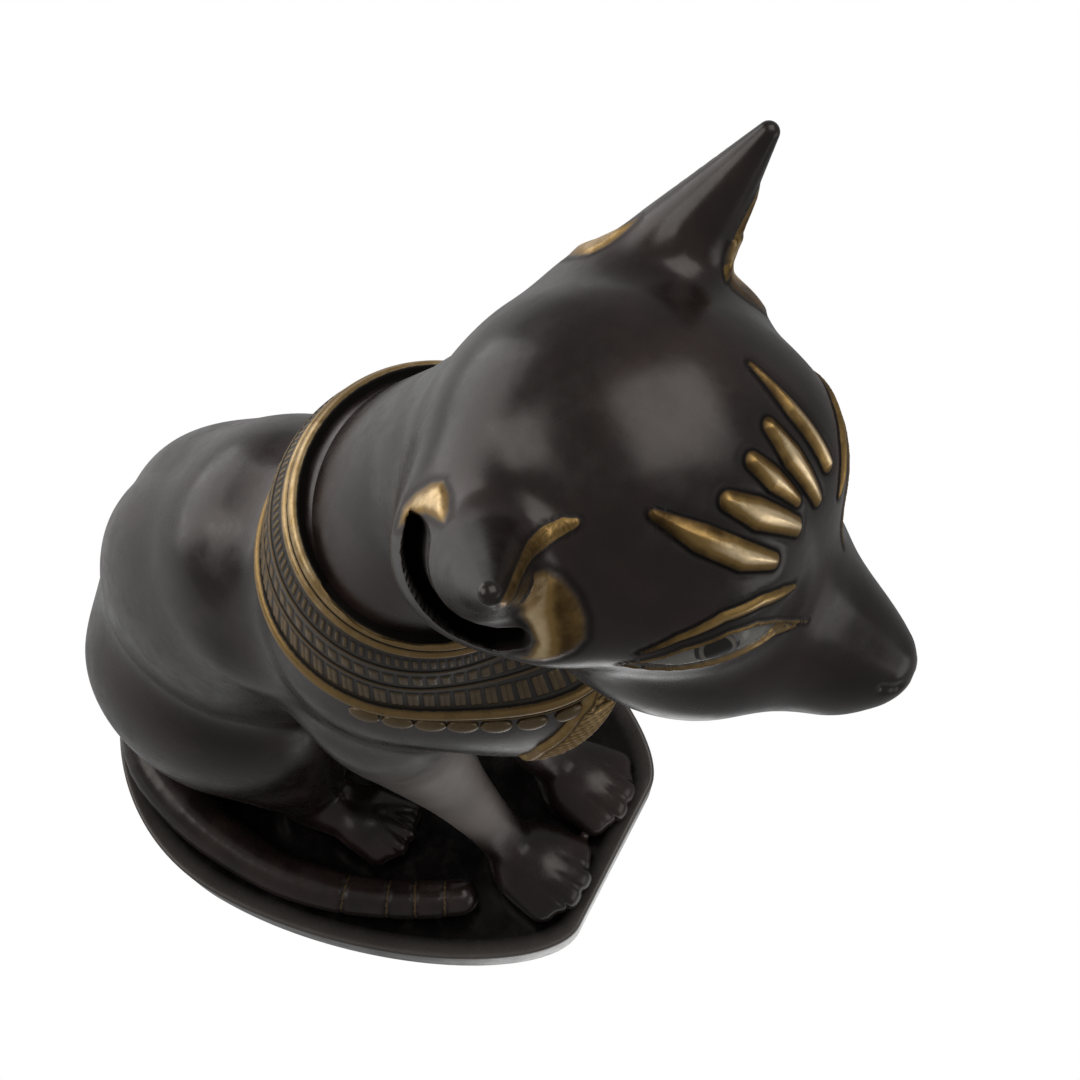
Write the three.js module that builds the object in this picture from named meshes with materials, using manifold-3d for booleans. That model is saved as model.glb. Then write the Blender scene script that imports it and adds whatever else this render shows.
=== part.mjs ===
// A seated cat on a low plinth, cast in one piece: a small black and gold figure in the Egyptian manner.
// Millimetres, +Z up. The cat looks along -Y, and its left side is on +X.
// The origin is the middle of the plinth's flat underside.
import * as THREE from "three";
import { mergeVertices } from "three/addons/utils/BufferGeometryUtils.js";
import Module from "manifold-3d";

// Driving sizes
const catHeight = 185; // from the plinth's floor to the tips of the ears
const plinthHeight = 12; // from the underside to the top of the rim
const floorDepth = 2.5; // the dished floor's depth under the rim
const rimWidth = 4.2; // the rolled rim round the floor
const edgeRadius = 1.4; // the rounding of the rim
const frontRoom = 3; // from the front toes to the plinth's front edge
const rearRoom = 4.5; // from the rump to the plinth's rear edge
const sideRoom = 5.6; // from the tail to the plinth's side
const sink = 1.2; // how deep the cat is rooted in the plinth
const collarThickness = 1.3; // the broad collar's stand over the chest
const leafRelief = 0.6; // the leaf strokes' stand over the forehead
const beadRelief = 0.9; // the drop beads' stand over the chest
const beadCount = 16; // drops along the collar's foot
const pendantRelief = 1.2; // the winged pendant's stand over the breast
const eyeRelief = 0.7; // the eyes' stand over the face

// Facets
const headCell = 3;
const bodyCell = 5;
const limbSides = 12;
const toeSides = 8;
const planSegments = 8;
const rimSegments = 2;
const collarSteps = 36;
const tailSteps = 18;
const facetTolerance = 0.13; // how far the facets may leave the carved surface
const thinnestFace = 0.02; // the least height of a facet over its longest side
const tiniestFace = 0.002; // below this area a facet's direction says nothing
const mostTurn = 0.7; // the cosine of the most that a facet turns as corners merge

// The carved forms keep their pose and proportions as 185ths of the cat's height.
const unit = catHeight / 185;
const floorHeight = plinthHeight - floorDepth;

const wasm = await Module();
wasm.setup();

const black = new THREE.MeshStandardMaterial({ color: 0x211f1e, roughness: 0.32, metalness: 0 });

// A place on the cat: to its left, ahead of the plinth's middle, and up from the plinth's floor.
function at(side, ahead, up) {
  return new THREE.Vector3(side * unit, -ahead * unit, floorHeight + up * unit);
}

// Half-sizes of a form, in the same order.
function radii(side, ahead, up) {
  return new THREE.Vector3(side, ahead, up).multiplyScalar(unit);
}

// A form is a function that gives a point's distance to its surface, negative inside.
function ball(centre, size) {
  const local = new THREE.Vector3();
  const steep = new THREE.Vector3();
  return (point) => {
    local.copy(point).sub(centre).divide(size);
    steep.copy(local).divide(size);
    const reach = local.length();
    const slope = steep.length();
    return slope > 1e-9 ? (reach * (reach - 1)) / slope : -Math.min(size.x, size.y, size.z);
  };
}

// A limb that tapers between two round ends, with its section widened across the cat and along it.
function limb(start, end, startSize, endSize, wide = 1, long = 1) {
  const stretch = new THREE.Vector3(wide, long, 1);
  const base = start.clone();
  const run = end.clone().sub(start).divide(stretch);
  const startRadius = startSize * unit;
  const taper = startRadius - endSize * unit;
  const runSquared = run.lengthSq();
  const slant = runSquared - taper * taper;
  const offset = new THREE.Vector3();
  return (point) => {
    offset.copy(point).sub(base).divide(stretch);
    const along = offset.dot(run);
    const past = along - runSquared;
    const across = offset.multiplyScalar(runSquared).addScaledVector(run, -along).lengthSq();
    const alongSquared = along * along * runSquared;
    const pastSquared = past * past * runSquared;
    const side = Math.sign(taper) * taper * taper * across;
    if (Math.sign(past) * slant * pastSquared > side) {
      return Math.sqrt(across + pastSquared) / runSquared - (startRadius - taper);
    }
    if (Math.sign(along) * slant * alongSquared < side) {
      return Math.sqrt(across + alongSquared) / runSquared - startRadius;
    }
    return (Math.sqrt((across * slant) / runSquared) + along * taper) / runSquared - startRadius;
  };
}

// Two forms run into each other with a fillet.
function blend(fillet, ...forms) {
  const width = fillet * unit;
  return (point) =>
    forms.map((form) => form(point)).reduce((near, far) => {
      const overlap = Math.max(width - Math.abs(near - far), 0) / width;
      return Math.min(near, far) - overlap * overlap * width * 0.25;
    });
}

// A form and its mirror image on the cat's other side.
function bothSides(form) {
  const folded = new THREE.Vector3();
  return (point) => form(folded.set(Math.abs(point.x), point.y, point.z));
}

// The head: a round skull, long cheeks and a fine muzzle.
const skull = ball(at(0, 48.5, 161.9), radii(20, 19.7, 16.8));
const muzzle = limb(at(0, 65.2, 148.1), at(0, 78.4, 147), 11.1, 4.2);
const chin = limb(at(0, 50.5, 140.5), at(0, 74.5, 143), 9, 5.6);
const cheeks = bothSides(ball(at(9.6, 56.1, 146.6), radii(6.5, 11.2, 9.1)));
const brows = bothSides(ball(at(7.1, 59.8, 162.7), radii(7.1, 7.1, 7.1)));
const face = blend(6, blend(7, blend(8, skull, muzzle), cheeks), chin, brows);

const neck = limb(at(0, 20.2, 120.7), at(0, 32.8, 146.6), 17, 12.4, 1.15);
const earRoots = bothSides(ball(at(16.6, 43.1, 161.6), radii(6.6, 9.8, 8)));
const headForm = blend(10, blend(5, face, earRoots), neck);

// The trunk: a deep breast, sloping back, long flanks and full haunches.
const chest = limb(at(0, 22.9, 123.8), at(0, 20.7, 103.8), 18.7, 22, 1.08);
const breast = ball(at(0, 35, 99.1), radii(15.8, 17.3, 23.5));
const shoulders = bothSides(ball(at(10.8, 17.9, 81.5), radii(10.7, 13.5, 21.6)));
const spine = limb(at(0, -2.5, 87.5), at(0, -30, 40.6), 22.4, 23);
const flanks = bothSides(ball(at(3.9, -16.7, 64.1), radii(17.5, 23.8, 30)));
const torso = blend(8, blend(8, chest, breast, shoulders), blend(10, spine, flanks));
const thigh = ball(at(13.2, -23.3, 32.9), radii(20.2, 26.5, 32.4));
const knee = ball(at(17.6, -7.5, 17), radii(9.6, 10.5, 13));
const haunches = bothSides(blend(6, thigh, knee));

const trunk = blend(2.5, torso, haunches);

// The steps of an even lattice along one side of a box.
function latticeSteps(box, cell) {
  return box.getSize(new THREE.Vector3()).divideScalar(cell).ceil().addScalar(1);
}

// Slides a point onto a form's surface, along the form's steepest slope.
function settle(point, form, reach) {
  const probe = 0.05;
  const rounds = 4;
  const slope = new THREE.Vector3();
  const start = point.clone();
  for (let round = 0; round < rounds; round += 1) {
    const here = form(point);
    slope.set(
      form(point.clone().setX(point.x + probe)) - here,
      form(point.clone().setY(point.y + probe)) - here,
      form(point.clone().setZ(point.z + probe)) - here,
    );
    const steepness = slope.lengthSq() / (probe * probe);
    point.addScaledVector(slope, -here / (probe * Math.max(steepness, 0.2)));
  }
  const slid = point.clone().sub(start).clampLength(0, reach);
  return point.copy(start).add(slid);
}

// A geometry's corners and faces as a solid.
function solidOf(geometry) {
  const bare = new THREE.BufferGeometry().setAttribute("position", geometry.getAttribute("position"));
  bare.setIndex(geometry.index);
  const merged = mergeVertices(bare, 1e-4);
  return new wasm.Manifold(
    new wasm.Mesh({
      numProp: 3,
      vertProperties: Float32Array.from(merged.attributes.position.array),
      triVerts: Uint32Array.from(merged.index.array),
    }),
  );
}

function solidFrom(corners, faces) {
  const places = corners.flatMap((corner) => corner.toArray());
  const geometry = new THREE.BufferGeometry();
  geometry.setAttribute("position", new THREE.Float32BufferAttribute(places, 3));
  geometry.setIndex(faces.flat());
  return solidOf(geometry);
}

// Carves a form out of its space: one corner in each lattice cell that the surface crosses,
// and one four-sided facet across each lattice edge that goes through it.
function carve(form, box, cell) {
  const steps = latticeSteps(box, cell);
  const place = (i, j, k) => new THREE.Vector3(i, j, k).multiplyScalar(cell).add(box.min);
  const cellId = (i, j, k) => (k * steps.y + j) * steps.x + i;
  const depth = new Float64Array((steps.x + 1) * (steps.y + 1) * (steps.z + 1));
  const nodeId = (i, j, k) => (k * (steps.y + 1) + j) * (steps.x + 1) + i;
  for (let k = 0; k <= steps.z; k += 1) {
    for (let j = 0; j <= steps.y; j += 1) {
      for (let i = 0; i <= steps.x; i += 1) {
        depth[nodeId(i, j, k)] = form(place(i, j, k));
      }
    }
  }
  const corners = [];
  const cornerOf = new Map();
  const cornerIn = (i, j, k) => {
    const id = cellId(i, j, k);
    if (!cornerOf.has(id)) {
      cornerOf.set(id, corners.length);
      corners.push(settle(crossingMiddle(i, j, k), form, cell));
    }
    return cornerOf.get(id);
  };
  // The middle of the places where the surface crosses the cell's twelve edges.
  function crossingMiddle(i, j, k) {
    const middle = new THREE.Vector3();
    let count = 0;
    for (let edge = 0; edge < 12; edge += 1) {
      const axis = edge >> 2;
      const from = [i, j, k];
      from[(axis + 1) % 3] += edge & 1;
      from[(axis + 2) % 3] += (edge >> 1) & 1;
      const to = [...from];
      to[axis] += 1;
      const a = depth[nodeId(...from)];
      const b = depth[nodeId(...to)];
      if (a < 0 !== b < 0) {
        middle.add(place(...from).lerp(place(...to), a / (a - b)));
        count += 1;
      }
    }
    return middle.divideScalar(count);
  }
  const faces = [];
  for (let k = 0; k < steps.z; k += 1) {
    for (let j = 0; j < steps.y; j += 1) {
      for (let i = 0; i < steps.x; i += 1) {
        for (let axis = 0; axis < 3; axis += 1) {
          const next = [i, j, k];
          next[axis] += 1;
          const inside = depth[nodeId(i, j, k)] < 0;
          if (inside === depth[nodeId(...next)] < 0) continue;
          const u = (axis + 1) % 3;
          const v = (axis + 2) % 3;
          const ring = [[0, 0], [1, 0], [1, 1], [0, 1]].map(([du, dv]) => {
            const cellAt = [i, j, k];
            cellAt[u] -= du;
            cellAt[v] -= dv;
            return cornerIn(...cellAt);
          });
          if (!inside) ring.reverse();
          faces.push(...splitFacet(ring, corners));
        }
      }
    }
  }
  return solidFrom(corners, faces);
}

// Splits a four-sided facet along its shorter diagonal.
function splitFacet([a, b, c, d], corners) {
  const first = corners[a].distanceTo(corners[c]);
  const second = corners[b].distanceTo(corners[d]);
  return first <= second ? [[a, b, c], [a, c, d]] : [[a, b, d], [b, c, d]];
}

// The plinth's plan: an egg with a blunt front, widest beside the haunches.
const plinthFront = 54.5 * unit + frontRoom;
const plinthRear = 53 * unit + rearRoom;
const plinthSide = 40.4 * unit + sideRoom;

function planSide(side) {
  const wide = side * plinthSide;
  const front = new THREE.CubicBezierCurve(
    new THREE.Vector2(0.35 * wide, -plinthFront),
    new THREE.Vector2(0.61 * wide, -plinthFront),
    new THREE.Vector2(wide, -0.35 * plinthFront),
    new THREE.Vector2(wide, 0.21 * plinthRear),
  );
  const rear = new THREE.CubicBezierCurve(
    new THREE.Vector2(wide, 0.21 * plinthRear),
    new THREE.Vector2(wide, 0.64 * plinthRear),
    new THREE.Vector2(0.57 * wide, plinthRear),
    new THREE.Vector2(0, plinthRear),
  );
  return [...front.getPoints(planSegments), ...rear.getPoints(planSegments).slice(1)];
}

const plan = new THREE.Shape([...planSide(1), ...planSide(-1).slice(0, -1).reverse()]);

// A slab over the plan, drawn in from it all round, with rounded edges.
function slab(bottom, top, inset) {
  const geometry = new THREE.ExtrudeGeometry(plan, {
    depth: top - bottom - 2 * edgeRadius,
    bevelThickness: edgeRadius,
    bevelSize: edgeRadius,
    bevelOffset: -edgeRadius - inset,
    bevelSegments: rimSegments,
  });
  return solidOf(geometry.translate(0, 0, bottom + edgeRadius));
}

const openHeight = plinthHeight + 4 * edgeRadius;
const plinth = slab(0, plinthHeight, 0).subtract(slab(floorHeight, openHeight, rimWidth));

// Finds the form's surface on the way in along a direction, from well outside.
function surfaceToward(form, inner, direction) {
  const reach = 60 * unit;
  const point = inner.clone().addScaledVector(direction, reach);
  for (let step = 0; step < 60; step += 1) {
    point.addScaledVector(direction, -0.9 * form(point));
  }
  return point;
}

// The way out of a form at a point on it.
function outward(form, point) {
  const probe = 0.2;
  const slope = (step) => form(point.clone().add(step)) - form(point.clone().sub(step));
  return new THREE.Vector3(
    slope(new THREE.Vector3(probe, 0, 0)),
    slope(new THREE.Vector3(0, probe, 0)),
    slope(new THREE.Vector3(0, 0, probe)),
  ).normalize();
}

// The broad collar lies on the chest between two tilted rings, higher behind than in front.
const collarTop = { centre: at(0, 24.2, 133.9), fall: 0.3 };
const collarFoot = { centre: at(0, 24.2, 114), fall: 0.18 };
const fieldStand = 0.55; // the stand of the field between the cords, as a share of the collar's
const worn = (point) => Math.min(torso(point), neck(point));

function collarPoint(angle, share, stand) {
  const centre = collarTop.centre.clone().lerp(collarFoot.centre, share);
  const fall = THREE.MathUtils.lerp(collarTop.fall, collarFoot.fall, share);
  const ahead = Math.cos(angle);
  const direction = new THREE.Vector3(Math.sin(angle), -ahead, -fall * ahead).normalize();
  const point = surfaceToward(worn, centre, direction);
  return point.addScaledVector(outward(worn, point), stand);
}

// Closes rings of corners into a tube that runs round and meets itself.
function hoop(rings) {
  const corners = rings.flat();
  const size = rings[0].length;
  const faces = [];
  rings.forEach((ring, index) => {
    const next = ((index + 1) % rings.length) * size;
    ring.forEach((corner, step) => {
      const beside = (step + 1) % size;
      const quad = [index * size + step, index * size + beside, next + beside, next + step];
      faces.push(...splitFacet(quad, corners));
    });
  });
  return solidFrom(corners, faces);
}

// The collar's section, from its top edge down: where each line runs and how far it stands out.
const collarRoot = -1.5;
const collarSection = [
  [0.02, collarRoot],
  [0, 1],
  [0.17, 1],
  [0.2, fieldStand],
  [0.84, fieldStand],
  [0.87, 1],
  [1, 1],
  [1, collarRoot],
];
const collarRings = [];
for (let step = 0; step < collarSteps; step += 1) {
  const angle = (step / collarSteps) * 2 * Math.PI;
  collarRings.push(
    collarSection.map(([share, stand]) => collarPoint(angle, share, stand * collarThickness)),
  );
}
const collar = hoop(collarRings);

// A raised stroke along a form, pointed at both ends, crowned in the middle and rooted below.
function stroke(form, start, end, halfWidth, stand, stations = 4) {
  const root = -1;
  const edge = -0.45;
  const corners = [];
  const faces = [];
  for (let station = 0; station <= stations; station += 1) {
    const share = station / stations;
    const middle = settle(start.clone().lerp(end, share), form, 8);
    const out = outward(form, middle);
    const aside = end.clone().sub(start).cross(out).setLength(halfWidth * unit);
    const fullness = Math.sqrt(Math.sin(Math.PI * THREE.MathUtils.clamp(share, 0.03, 0.97)));
    const crest = middle.clone().addScaledVector(out, stand * fullness);
    const rightEdge = settle(middle.clone().addScaledVector(aside, fullness), form, 8);
    const leftEdge = settle(middle.clone().addScaledVector(aside, -fullness), form, 8);
    const keel = middle.clone().addScaledVector(out, root);
    rightEdge.addScaledVector(out, edge);
    leftEdge.addScaledVector(out, edge);
    corners.push(crest, rightEdge, keel, leftEdge);
    if (station === stations) break;
    const base = station * 4;
    for (let side = 0; side < 4; side += 1) {
      const beside = (side + 1) % 4;
      const quad = [base + side, base + beside, base + 4 + beside, base + 4 + side];
      faces.push([quad[0], quad[1], quad[2]], [quad[0], quad[2], quad[3]]);
    }
  }
  const last = stations * 4;
  faces.push([0, 3, 2], [0, 2, 1], [last, last + 1, last + 2], [last, last + 2, last + 3]);
  return solidFrom(corners, faces);
}

// A detail on both sides of the cat.
function strokePair(form, start, end, halfWidth, stand) {
  return [1, -1].map((side) => {
    const flip = (spot) => at(side * spot[0], spot[1], spot[2]);
    return stroke(form, flip(start), flip(end), halfWidth, stand);
  });
}

// Five leaf strokes on the forehead, the eyes under their brows, and the winged pendant.
const leaves = [
  stroke(face, at(0, 60.2, 175), at(0, 66.4, 169.6), 1.1, leafRelief),
  ...strokePair(face, [4.9, 59.8, 175], [1.3, 67.2, 168], 1.2, leafRelief),
  ...strokePair(face, [9.2, 55.6, 175], [5.4, 66.6, 169], 1, leafRelief),
];
const eyes = strokePair(face, [18.1, 57.6, 161.6], [4.9, 70.4, 158.2], 2.2, eyeRelief);
const wings = [
  ...strokePair(torso, [1, 52, 110], [12.4, 45.6, 94.6], 3.6, pendantRelief),
  stroke(torso, at(0, 51, 113), at(0, 51.4, 95), 2.6, pendantRelief),
];

// Drop beads hang along the collar's foot, over the breast from shoulder to shoulder.
const beads = [];
const beadSpread = 170 * THREE.MathUtils.DEG2RAD;
const beadHalfLength = 0.72;
for (let bead = 0; bead < beadCount; bead += 1) {
  const pitch = beadSpread / (beadCount - 1);
  const angle = bead * pitch - beadSpread / 2;
  const reach = (beadHalfLength * pitch) / 2;
  const ends = [angle - reach, angle + reach].map((turn) => collarPoint(turn, 1.14, 0));
  beads.push(stroke(torso, ends[0], ends[1], 1.2, beadRelief, 3));
}

// A tapering limb with round ends, as a solid of revolution laid from its start to its end.
function limbSolid(start, end, startSize, endSize, sides = limbSides, long = 1) {
  const stretch = new THREE.Vector3(1, long, 1);
  const run = end.clone().sub(start).divide(stretch);
  const length = run.length();
  const sizes = [startSize * unit, endSize * unit];
  const lean = Math.asin((sizes[0] - sizes[1]) / length);
  const capRows = Math.max(2, Math.round(sides / 4));
  const profile = [];
  for (let row = 0; row <= capRows; row += 1) {
    const turn = THREE.MathUtils.lerp(-Math.PI / 2, lean, row / capRows);
    profile.push([sizes[0], turn, 0]);
  }
  for (let row = 0; row <= capRows; row += 1) {
    const turn = THREE.MathUtils.lerp(lean, Math.PI / 2, row / capRows);
    profile.push([sizes[1], turn, length]);
  }
  const outline = profile.map(([size, turn, along], index) => {
    const pole = index === 0 || index === profile.length - 1;
    return new THREE.Vector2(pole ? 0 : size * Math.cos(turn), along + size * Math.sin(turn));
  });
  const geometry = new THREE.LatheGeometry(outline, sides);
  const aim = new THREE.Quaternion().setFromUnitVectors(new THREE.Vector3(0, 1, 0), run.normalize());
  geometry.applyQuaternion(aim).scale(1, long, 1).translate(start.x, start.y, start.z);
  return solidOf(geometry);
}

function ballSolid(centre, size, sides, rows) {
  const geometry = new THREE.SphereGeometry(1, sides, rows).rotateX(Math.PI / 2);
  return solidOf(geometry.scale(size.x, size.y, size.z).translate(centre.x, centre.y, centre.z));
}

// The same spot on the cat's left side, 1, or its right side, -1.
const spot = (side, place) => at(side * place[0], place[1], place[2]);

// The ears: upright pointed shells, each with a swelling at its root, a knob in front of it,
// and a cup that opens to the side under the ear's closed point.
function ear(side) {
  const shell = limbSolid(spot(side, [13.9, 40.9, 162.3]), spot(side, [25.2, 48, 184]), 7.4, 1, 12, 1.12);
  const mouth = ballSolid(spot(side, [17.4, 43.3, 162.4]), radii(6.8, 9.4, 7.2), 12, 8);
  const knob = ballSolid(spot(side, [17.2, 50.6, 162.8]), radii(4, 4.2, 5), 8, 5);
  return shell.add(mouth).add(knob);
}

function earCup(side) {
  return ballSolid(spot(side, [21.2, 42.6, 164.2]), radii(4.4, 6.4, 7.6), 10, 8);
}

// The forelegs: straight and slender, down to broad paws.
const foreToes = [
  [4.3, 50.6],
  [8.4, 51.8],
  [12.9, 51],
  [16.5, 48.2],
];
const hindToes = [
  [12.8, 16.2],
  [16.4, 17],
  [20.1, 16.8],
  [23.5, 14.4],
];

// Four toes fan out from a root inside the paw and rest on the floor.
function toeFan(side, tips, root, tipSize) {
  const spread = 0.5;
  const tipHeight = 2.5;
  return tips.map(([aside, ahead]) => {
    const start = [root[0] + spread * (aside - root[0]), root[1], root[2]];
    return limbSolid(spot(side, start), spot(side, [aside, ahead, tipHeight]), 2.7, tipSize, toeSides);
  });
}

function foreleg(side) {
  const shoulder = spot(side, [11.9, 19.2, 76.6]);
  const elbow = spot(side, [7.6, 25.8, 50.2]);
  const wrist = spot(side, [8.4, 36.1, 15.5]);
  return [
    limbSolid(shoulder, elbow, 9.7, 6),
    limbSolid(elbow, wrist, 6, 4.4),
    limbSolid(wrist, spot(side, [9.6, 41.5, 6]), 4.4, 4.9),
    ballSolid(spot(side, [10.2, 43.6, 3]), radii(7.9, 8.6, 4.8), limbSides, 6),
    ...toeFan(side, foreToes, [9.8, 43, 4.4], 2.75),
  ];
}

function hindFoot(side) {
  return [
    limbSolid(spot(side, [17.6, -8, 4.4]), spot(side, [17.8, 9.5, 3.2]), 8, 6.2),
    ...toeFan(side, hindToes, [18.3, 8, 4.2], 2.6),
  ];
}

// The tail lies on the floor along the cat's right side and ends by the front paw.
const tailSize = 3.9;
const tailRoute = new THREE.CatmullRomCurve3([
  at(-12, -46, 3),
  at(-24, -43.5, 3),
  at(-32.5, -33, 3),
  at(-36.3, -14, 3),
  at(-35.2, 5, 3),
  at(-30.4, 20, 3),
  at(-22.6, 33.2, 3),
]);

function tail() {
  const section = new THREE.Shape().absarc(0, 0, tailSize * unit, 0, 2 * Math.PI);
  const geometry = new THREE.ExtrudeGeometry(section, {
    steps: tailSteps,
    extrudePath: tailRoute,
    curveSegments: 4,
  });
  const tip = tailRoute.getPoint(1);
  return solidOf(geometry).add(ballSolid(tip, radii(tailSize, tailSize, tailSize), 8, 6));
}

// Everything above the plinth is rooted a little below its floor.
const boxOf = (low, high) => new THREE.Box3().setFromPoints([at(...low), at(...high)]);
const grown = [
  carve(headForm, boxOf([-32, 0, 98], [32, 90, 186]), headCell),
  carve(trunk, boxOf([-46, -66, -8], [46, 66, 152]), bodyCell),
  tail(),
];
for (const side of [1, -1]) grown.push(ear(side), ...foreleg(side), ...hindFoot(side));
let figure = grown.reduce((whole, piece) => whole.add(piece));
for (const side of [1, -1]) figure = figure.subtract(earCup(side));
for (const piece of [collar, ...leaves, ...eyes, ...wings, ...beads]) figure = figure.add(piece);
figure = figure.subtract(slab(-catHeight, floorHeight - sink, -catHeight)).add(plinth);

// The surface's corners and faces, as it is thinned out.
class Facets {
  constructor({ vertProperties, triVerts }) {
    this.corners = [];
    for (let i = 0; i < vertProperties.length; i += 3) {
      this.corners.push(new THREE.Vector3().fromArray(vertProperties, i));
    }
    this.faces = [];
    this.facesAt = this.corners.map(() => new Set());
    for (let i = 0; i < triVerts.length; i += 3) {
      const face = [...triVerts.slice(i, i + 3)];
      face.forEach((corner) => this.facesAt[corner].add(this.faces.length));
      this.faces.push(face);
    }
    this.planes = this.corners.map(() => new Float64Array(10));
    this.faces.forEach((face) => this.addPlane(face));
  }

  // Adds a face's plane to the planes that each of its corners answers to.
  addPlane(face) {
    const normal = this.normalOf(face);
    if (normal.lengthSq() < tiniestFace * tiniestFace) return;
    normal.normalize();
    const terms = [...normal.toArray(), -normal.dot(this.corners[face[0]])];
    for (const corner of face) {
      let slot = 0;
      for (let row = 0; row < 4; row += 1) {
        for (let column = row; column < 4; column += 1) {
          this.planes[corner][slot] += terms[row] * terms[column];
          slot += 1;
        }
      }
    }
  }

  normalOf(face) {
    const [a, b, c] = face.map((corner) => this.corners[corner]);
    return b.clone().sub(a).cross(c.clone().sub(a));
  }

  // The sum of squared distances from a place to a corner's planes.
  strain(corner, { x, y, z }) {
    const [xx, xy, xz, xw, yy, yz, yw, zz, zw, ww] = this.planes[corner];
    const square = xx * x * x + yy * y * y + zz * z * z;
    const mixed = xy * x * y + xz * x * z + yz * y * z;
    return square + 2 * (mixed + xw * x + yw * y + zw * z) + ww;
  }

  neighbours(corner) {
    const near = new Set();
    for (const id of this.facesAt[corner]) this.faces[id].forEach((other) => near.add(other));
    near.delete(corner);
    return near;
  }

  // Whether a corner can slide onto its neighbour without folding or pinching the surface.
  canMerge(corner, target) {
    const near = this.neighbours(corner);
    const shared = [...this.neighbours(target)].filter((other) => near.has(other));
    if (shared.length !== 2) return false;
    const moved = [...this.facesAt[corner]].filter((id) => !this.faces[id].includes(target));
    return moved.every((id) => {
      const before = this.normalOf(this.faces[id]);
      const face = this.faces[id].map((other) => (other === corner ? target : other));
      const after = this.normalOf(face);
      if (before.lengthSq() < tiniestFace * tiniestFace) return true;
      const [a, b, c] = face.map((other) => this.corners[other]);
      const longest = Math.max(a.distanceTo(b), b.distanceTo(c), c.distanceTo(a));
      if (after.length() < thinnestFace * longest) return false;
      return before.normalize().dot(after.normalize()) > mostTurn;
    });
  }

  merge(corner, target) {
    for (const id of this.facesAt[corner]) {
      const face = this.faces[id];
      if (face.includes(target)) {
        face.forEach((other) => other !== corner && this.facesAt[other].delete(id));
        this.faces[id] = null;
      } else {
        face[face.indexOf(corner)] = target;
        this.facesAt[target].add(id);
      }
    }
    this.facesAt[corner].clear();
    this.planes[corner].forEach((term, slot) => {
      this.planes[target][slot] += term;
    });
  }

  // One round: every edge that can go at little cost, the cheapest first and none beside another.
  round(tolerance) {
    const choices = [];
    this.facesAt.forEach((faces, corner) => {
      if (!faces.size) return;
      for (const target of this.neighbours(corner)) {
        const place = this.corners[target];
        const cost = this.strain(corner, place) + this.strain(target, place);
        if (cost < tolerance * tolerance) choices.push([cost, corner, target]);
      }
    });
    choices.sort((one, other) => one[0] - other[0]);
    const busy = new Set();
    let merged = 0;
    for (const [, corner, target] of choices) {
      if (busy.has(corner) || busy.has(target) || !this.canMerge(corner, target)) continue;
      this.neighbours(corner).forEach((other) => busy.add(other));
      this.merge(corner, target);
      busy.add(corner);
      merged += 1;
    }
    return merged;
  }

  thin(tolerance) {
    const fewest = 0.002 * this.corners.length;
    while (this.round(tolerance) > fewest);
    return solidFrom(this.corners, this.faces.filter(Boolean));
  }
}

const made = new Facets(figure.getMesh()).thin(facetTolerance).getMesh();
const geometry = new THREE.BufferGeometry();
geometry.setAttribute("position", new THREE.BufferAttribute(made.vertProperties, 3));
geometry.setIndex(new THREE.BufferAttribute(made.triVerts, 1));
const cat = new THREE.Mesh(geometry, black);
cat.name = "cat_figure";

const part = new THREE.Group();
part.add(cat);

export default part;
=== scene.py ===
"""A seated cat figure in the Egyptian manner: black cast resin dressed with antique gold."""

import logging
import math
from dataclasses import dataclass
from enum import Enum
from typing import Callable, Iterable, Sequence

import bpy
import numpy as np
from mathutils import Euler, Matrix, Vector


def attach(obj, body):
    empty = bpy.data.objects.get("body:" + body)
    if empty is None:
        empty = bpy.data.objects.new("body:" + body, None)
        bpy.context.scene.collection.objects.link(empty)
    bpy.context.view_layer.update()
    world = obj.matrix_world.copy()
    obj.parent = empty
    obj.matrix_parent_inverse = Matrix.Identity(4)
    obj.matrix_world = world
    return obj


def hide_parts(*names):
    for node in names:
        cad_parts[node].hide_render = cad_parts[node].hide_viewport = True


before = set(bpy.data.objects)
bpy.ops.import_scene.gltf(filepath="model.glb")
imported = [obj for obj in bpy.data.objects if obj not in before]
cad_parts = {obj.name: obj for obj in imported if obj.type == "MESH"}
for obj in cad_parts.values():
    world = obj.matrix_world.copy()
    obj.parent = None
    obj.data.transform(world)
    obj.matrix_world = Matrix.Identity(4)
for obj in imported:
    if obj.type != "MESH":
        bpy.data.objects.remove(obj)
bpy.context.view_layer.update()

LOG = logging.getLogger("cat")

# Sizes are given in millimetres, and MM turns them into metres.
MM = 0.001
# The plinth's floor lies this far over its underside.
FLOOR_UP = 9.5
# What stands on the floor is cut off this far below it.
SUNK = 1.0
# Too small a number to matter, which keeps a division sound.
TINY = 1e-9
# The depth inside the gold that means well outside it.
OUTSIDE = -2.0
# The distance that means well away from a line.
FAR = 9.0
# How many steps each stretch of a stroke is cut into.
FINER = 4

Array = np.ndarray
Spot = tuple[float, float, float]
Route = tuple[Spot, ...]
Widths = tuple[float, ...]
Corners = tuple[tuple[float, float], ...]
Form = Callable[[Array], Array]


class Slot(Enum):
    """The record's material slots."""

    CAST = "cast"


def at(side: float, ahead: float, up: float) -> Array:
    """Gives a place on the cat in the part's frame.

    Args:
        side: Millimetres to the cat's left.
        ahead: Millimetres ahead of the plinth's middle.
        up: Millimetres above the plinth's floor.

    Returns:
        The place in millimetres.
    """
    return np.array([side, -ahead, FLOOR_UP + up], float)


def spot_of(place: Array) -> Spot:
    """Gives a place in the part's frame back as a place on the cat.

    Args:
        place: The place in millimetres.

    Returns:
        Its millimetres to the side, ahead and above the plinth's floor.
    """
    return float(place[0]), float(-place[1]), float(place[2] - FLOOR_UP)


def mirrored(points: Array) -> Array:
    """Folds points over to the cat's left side."""
    return np.column_stack([np.abs(points[:, 0]), points[:, 1:]])


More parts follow.
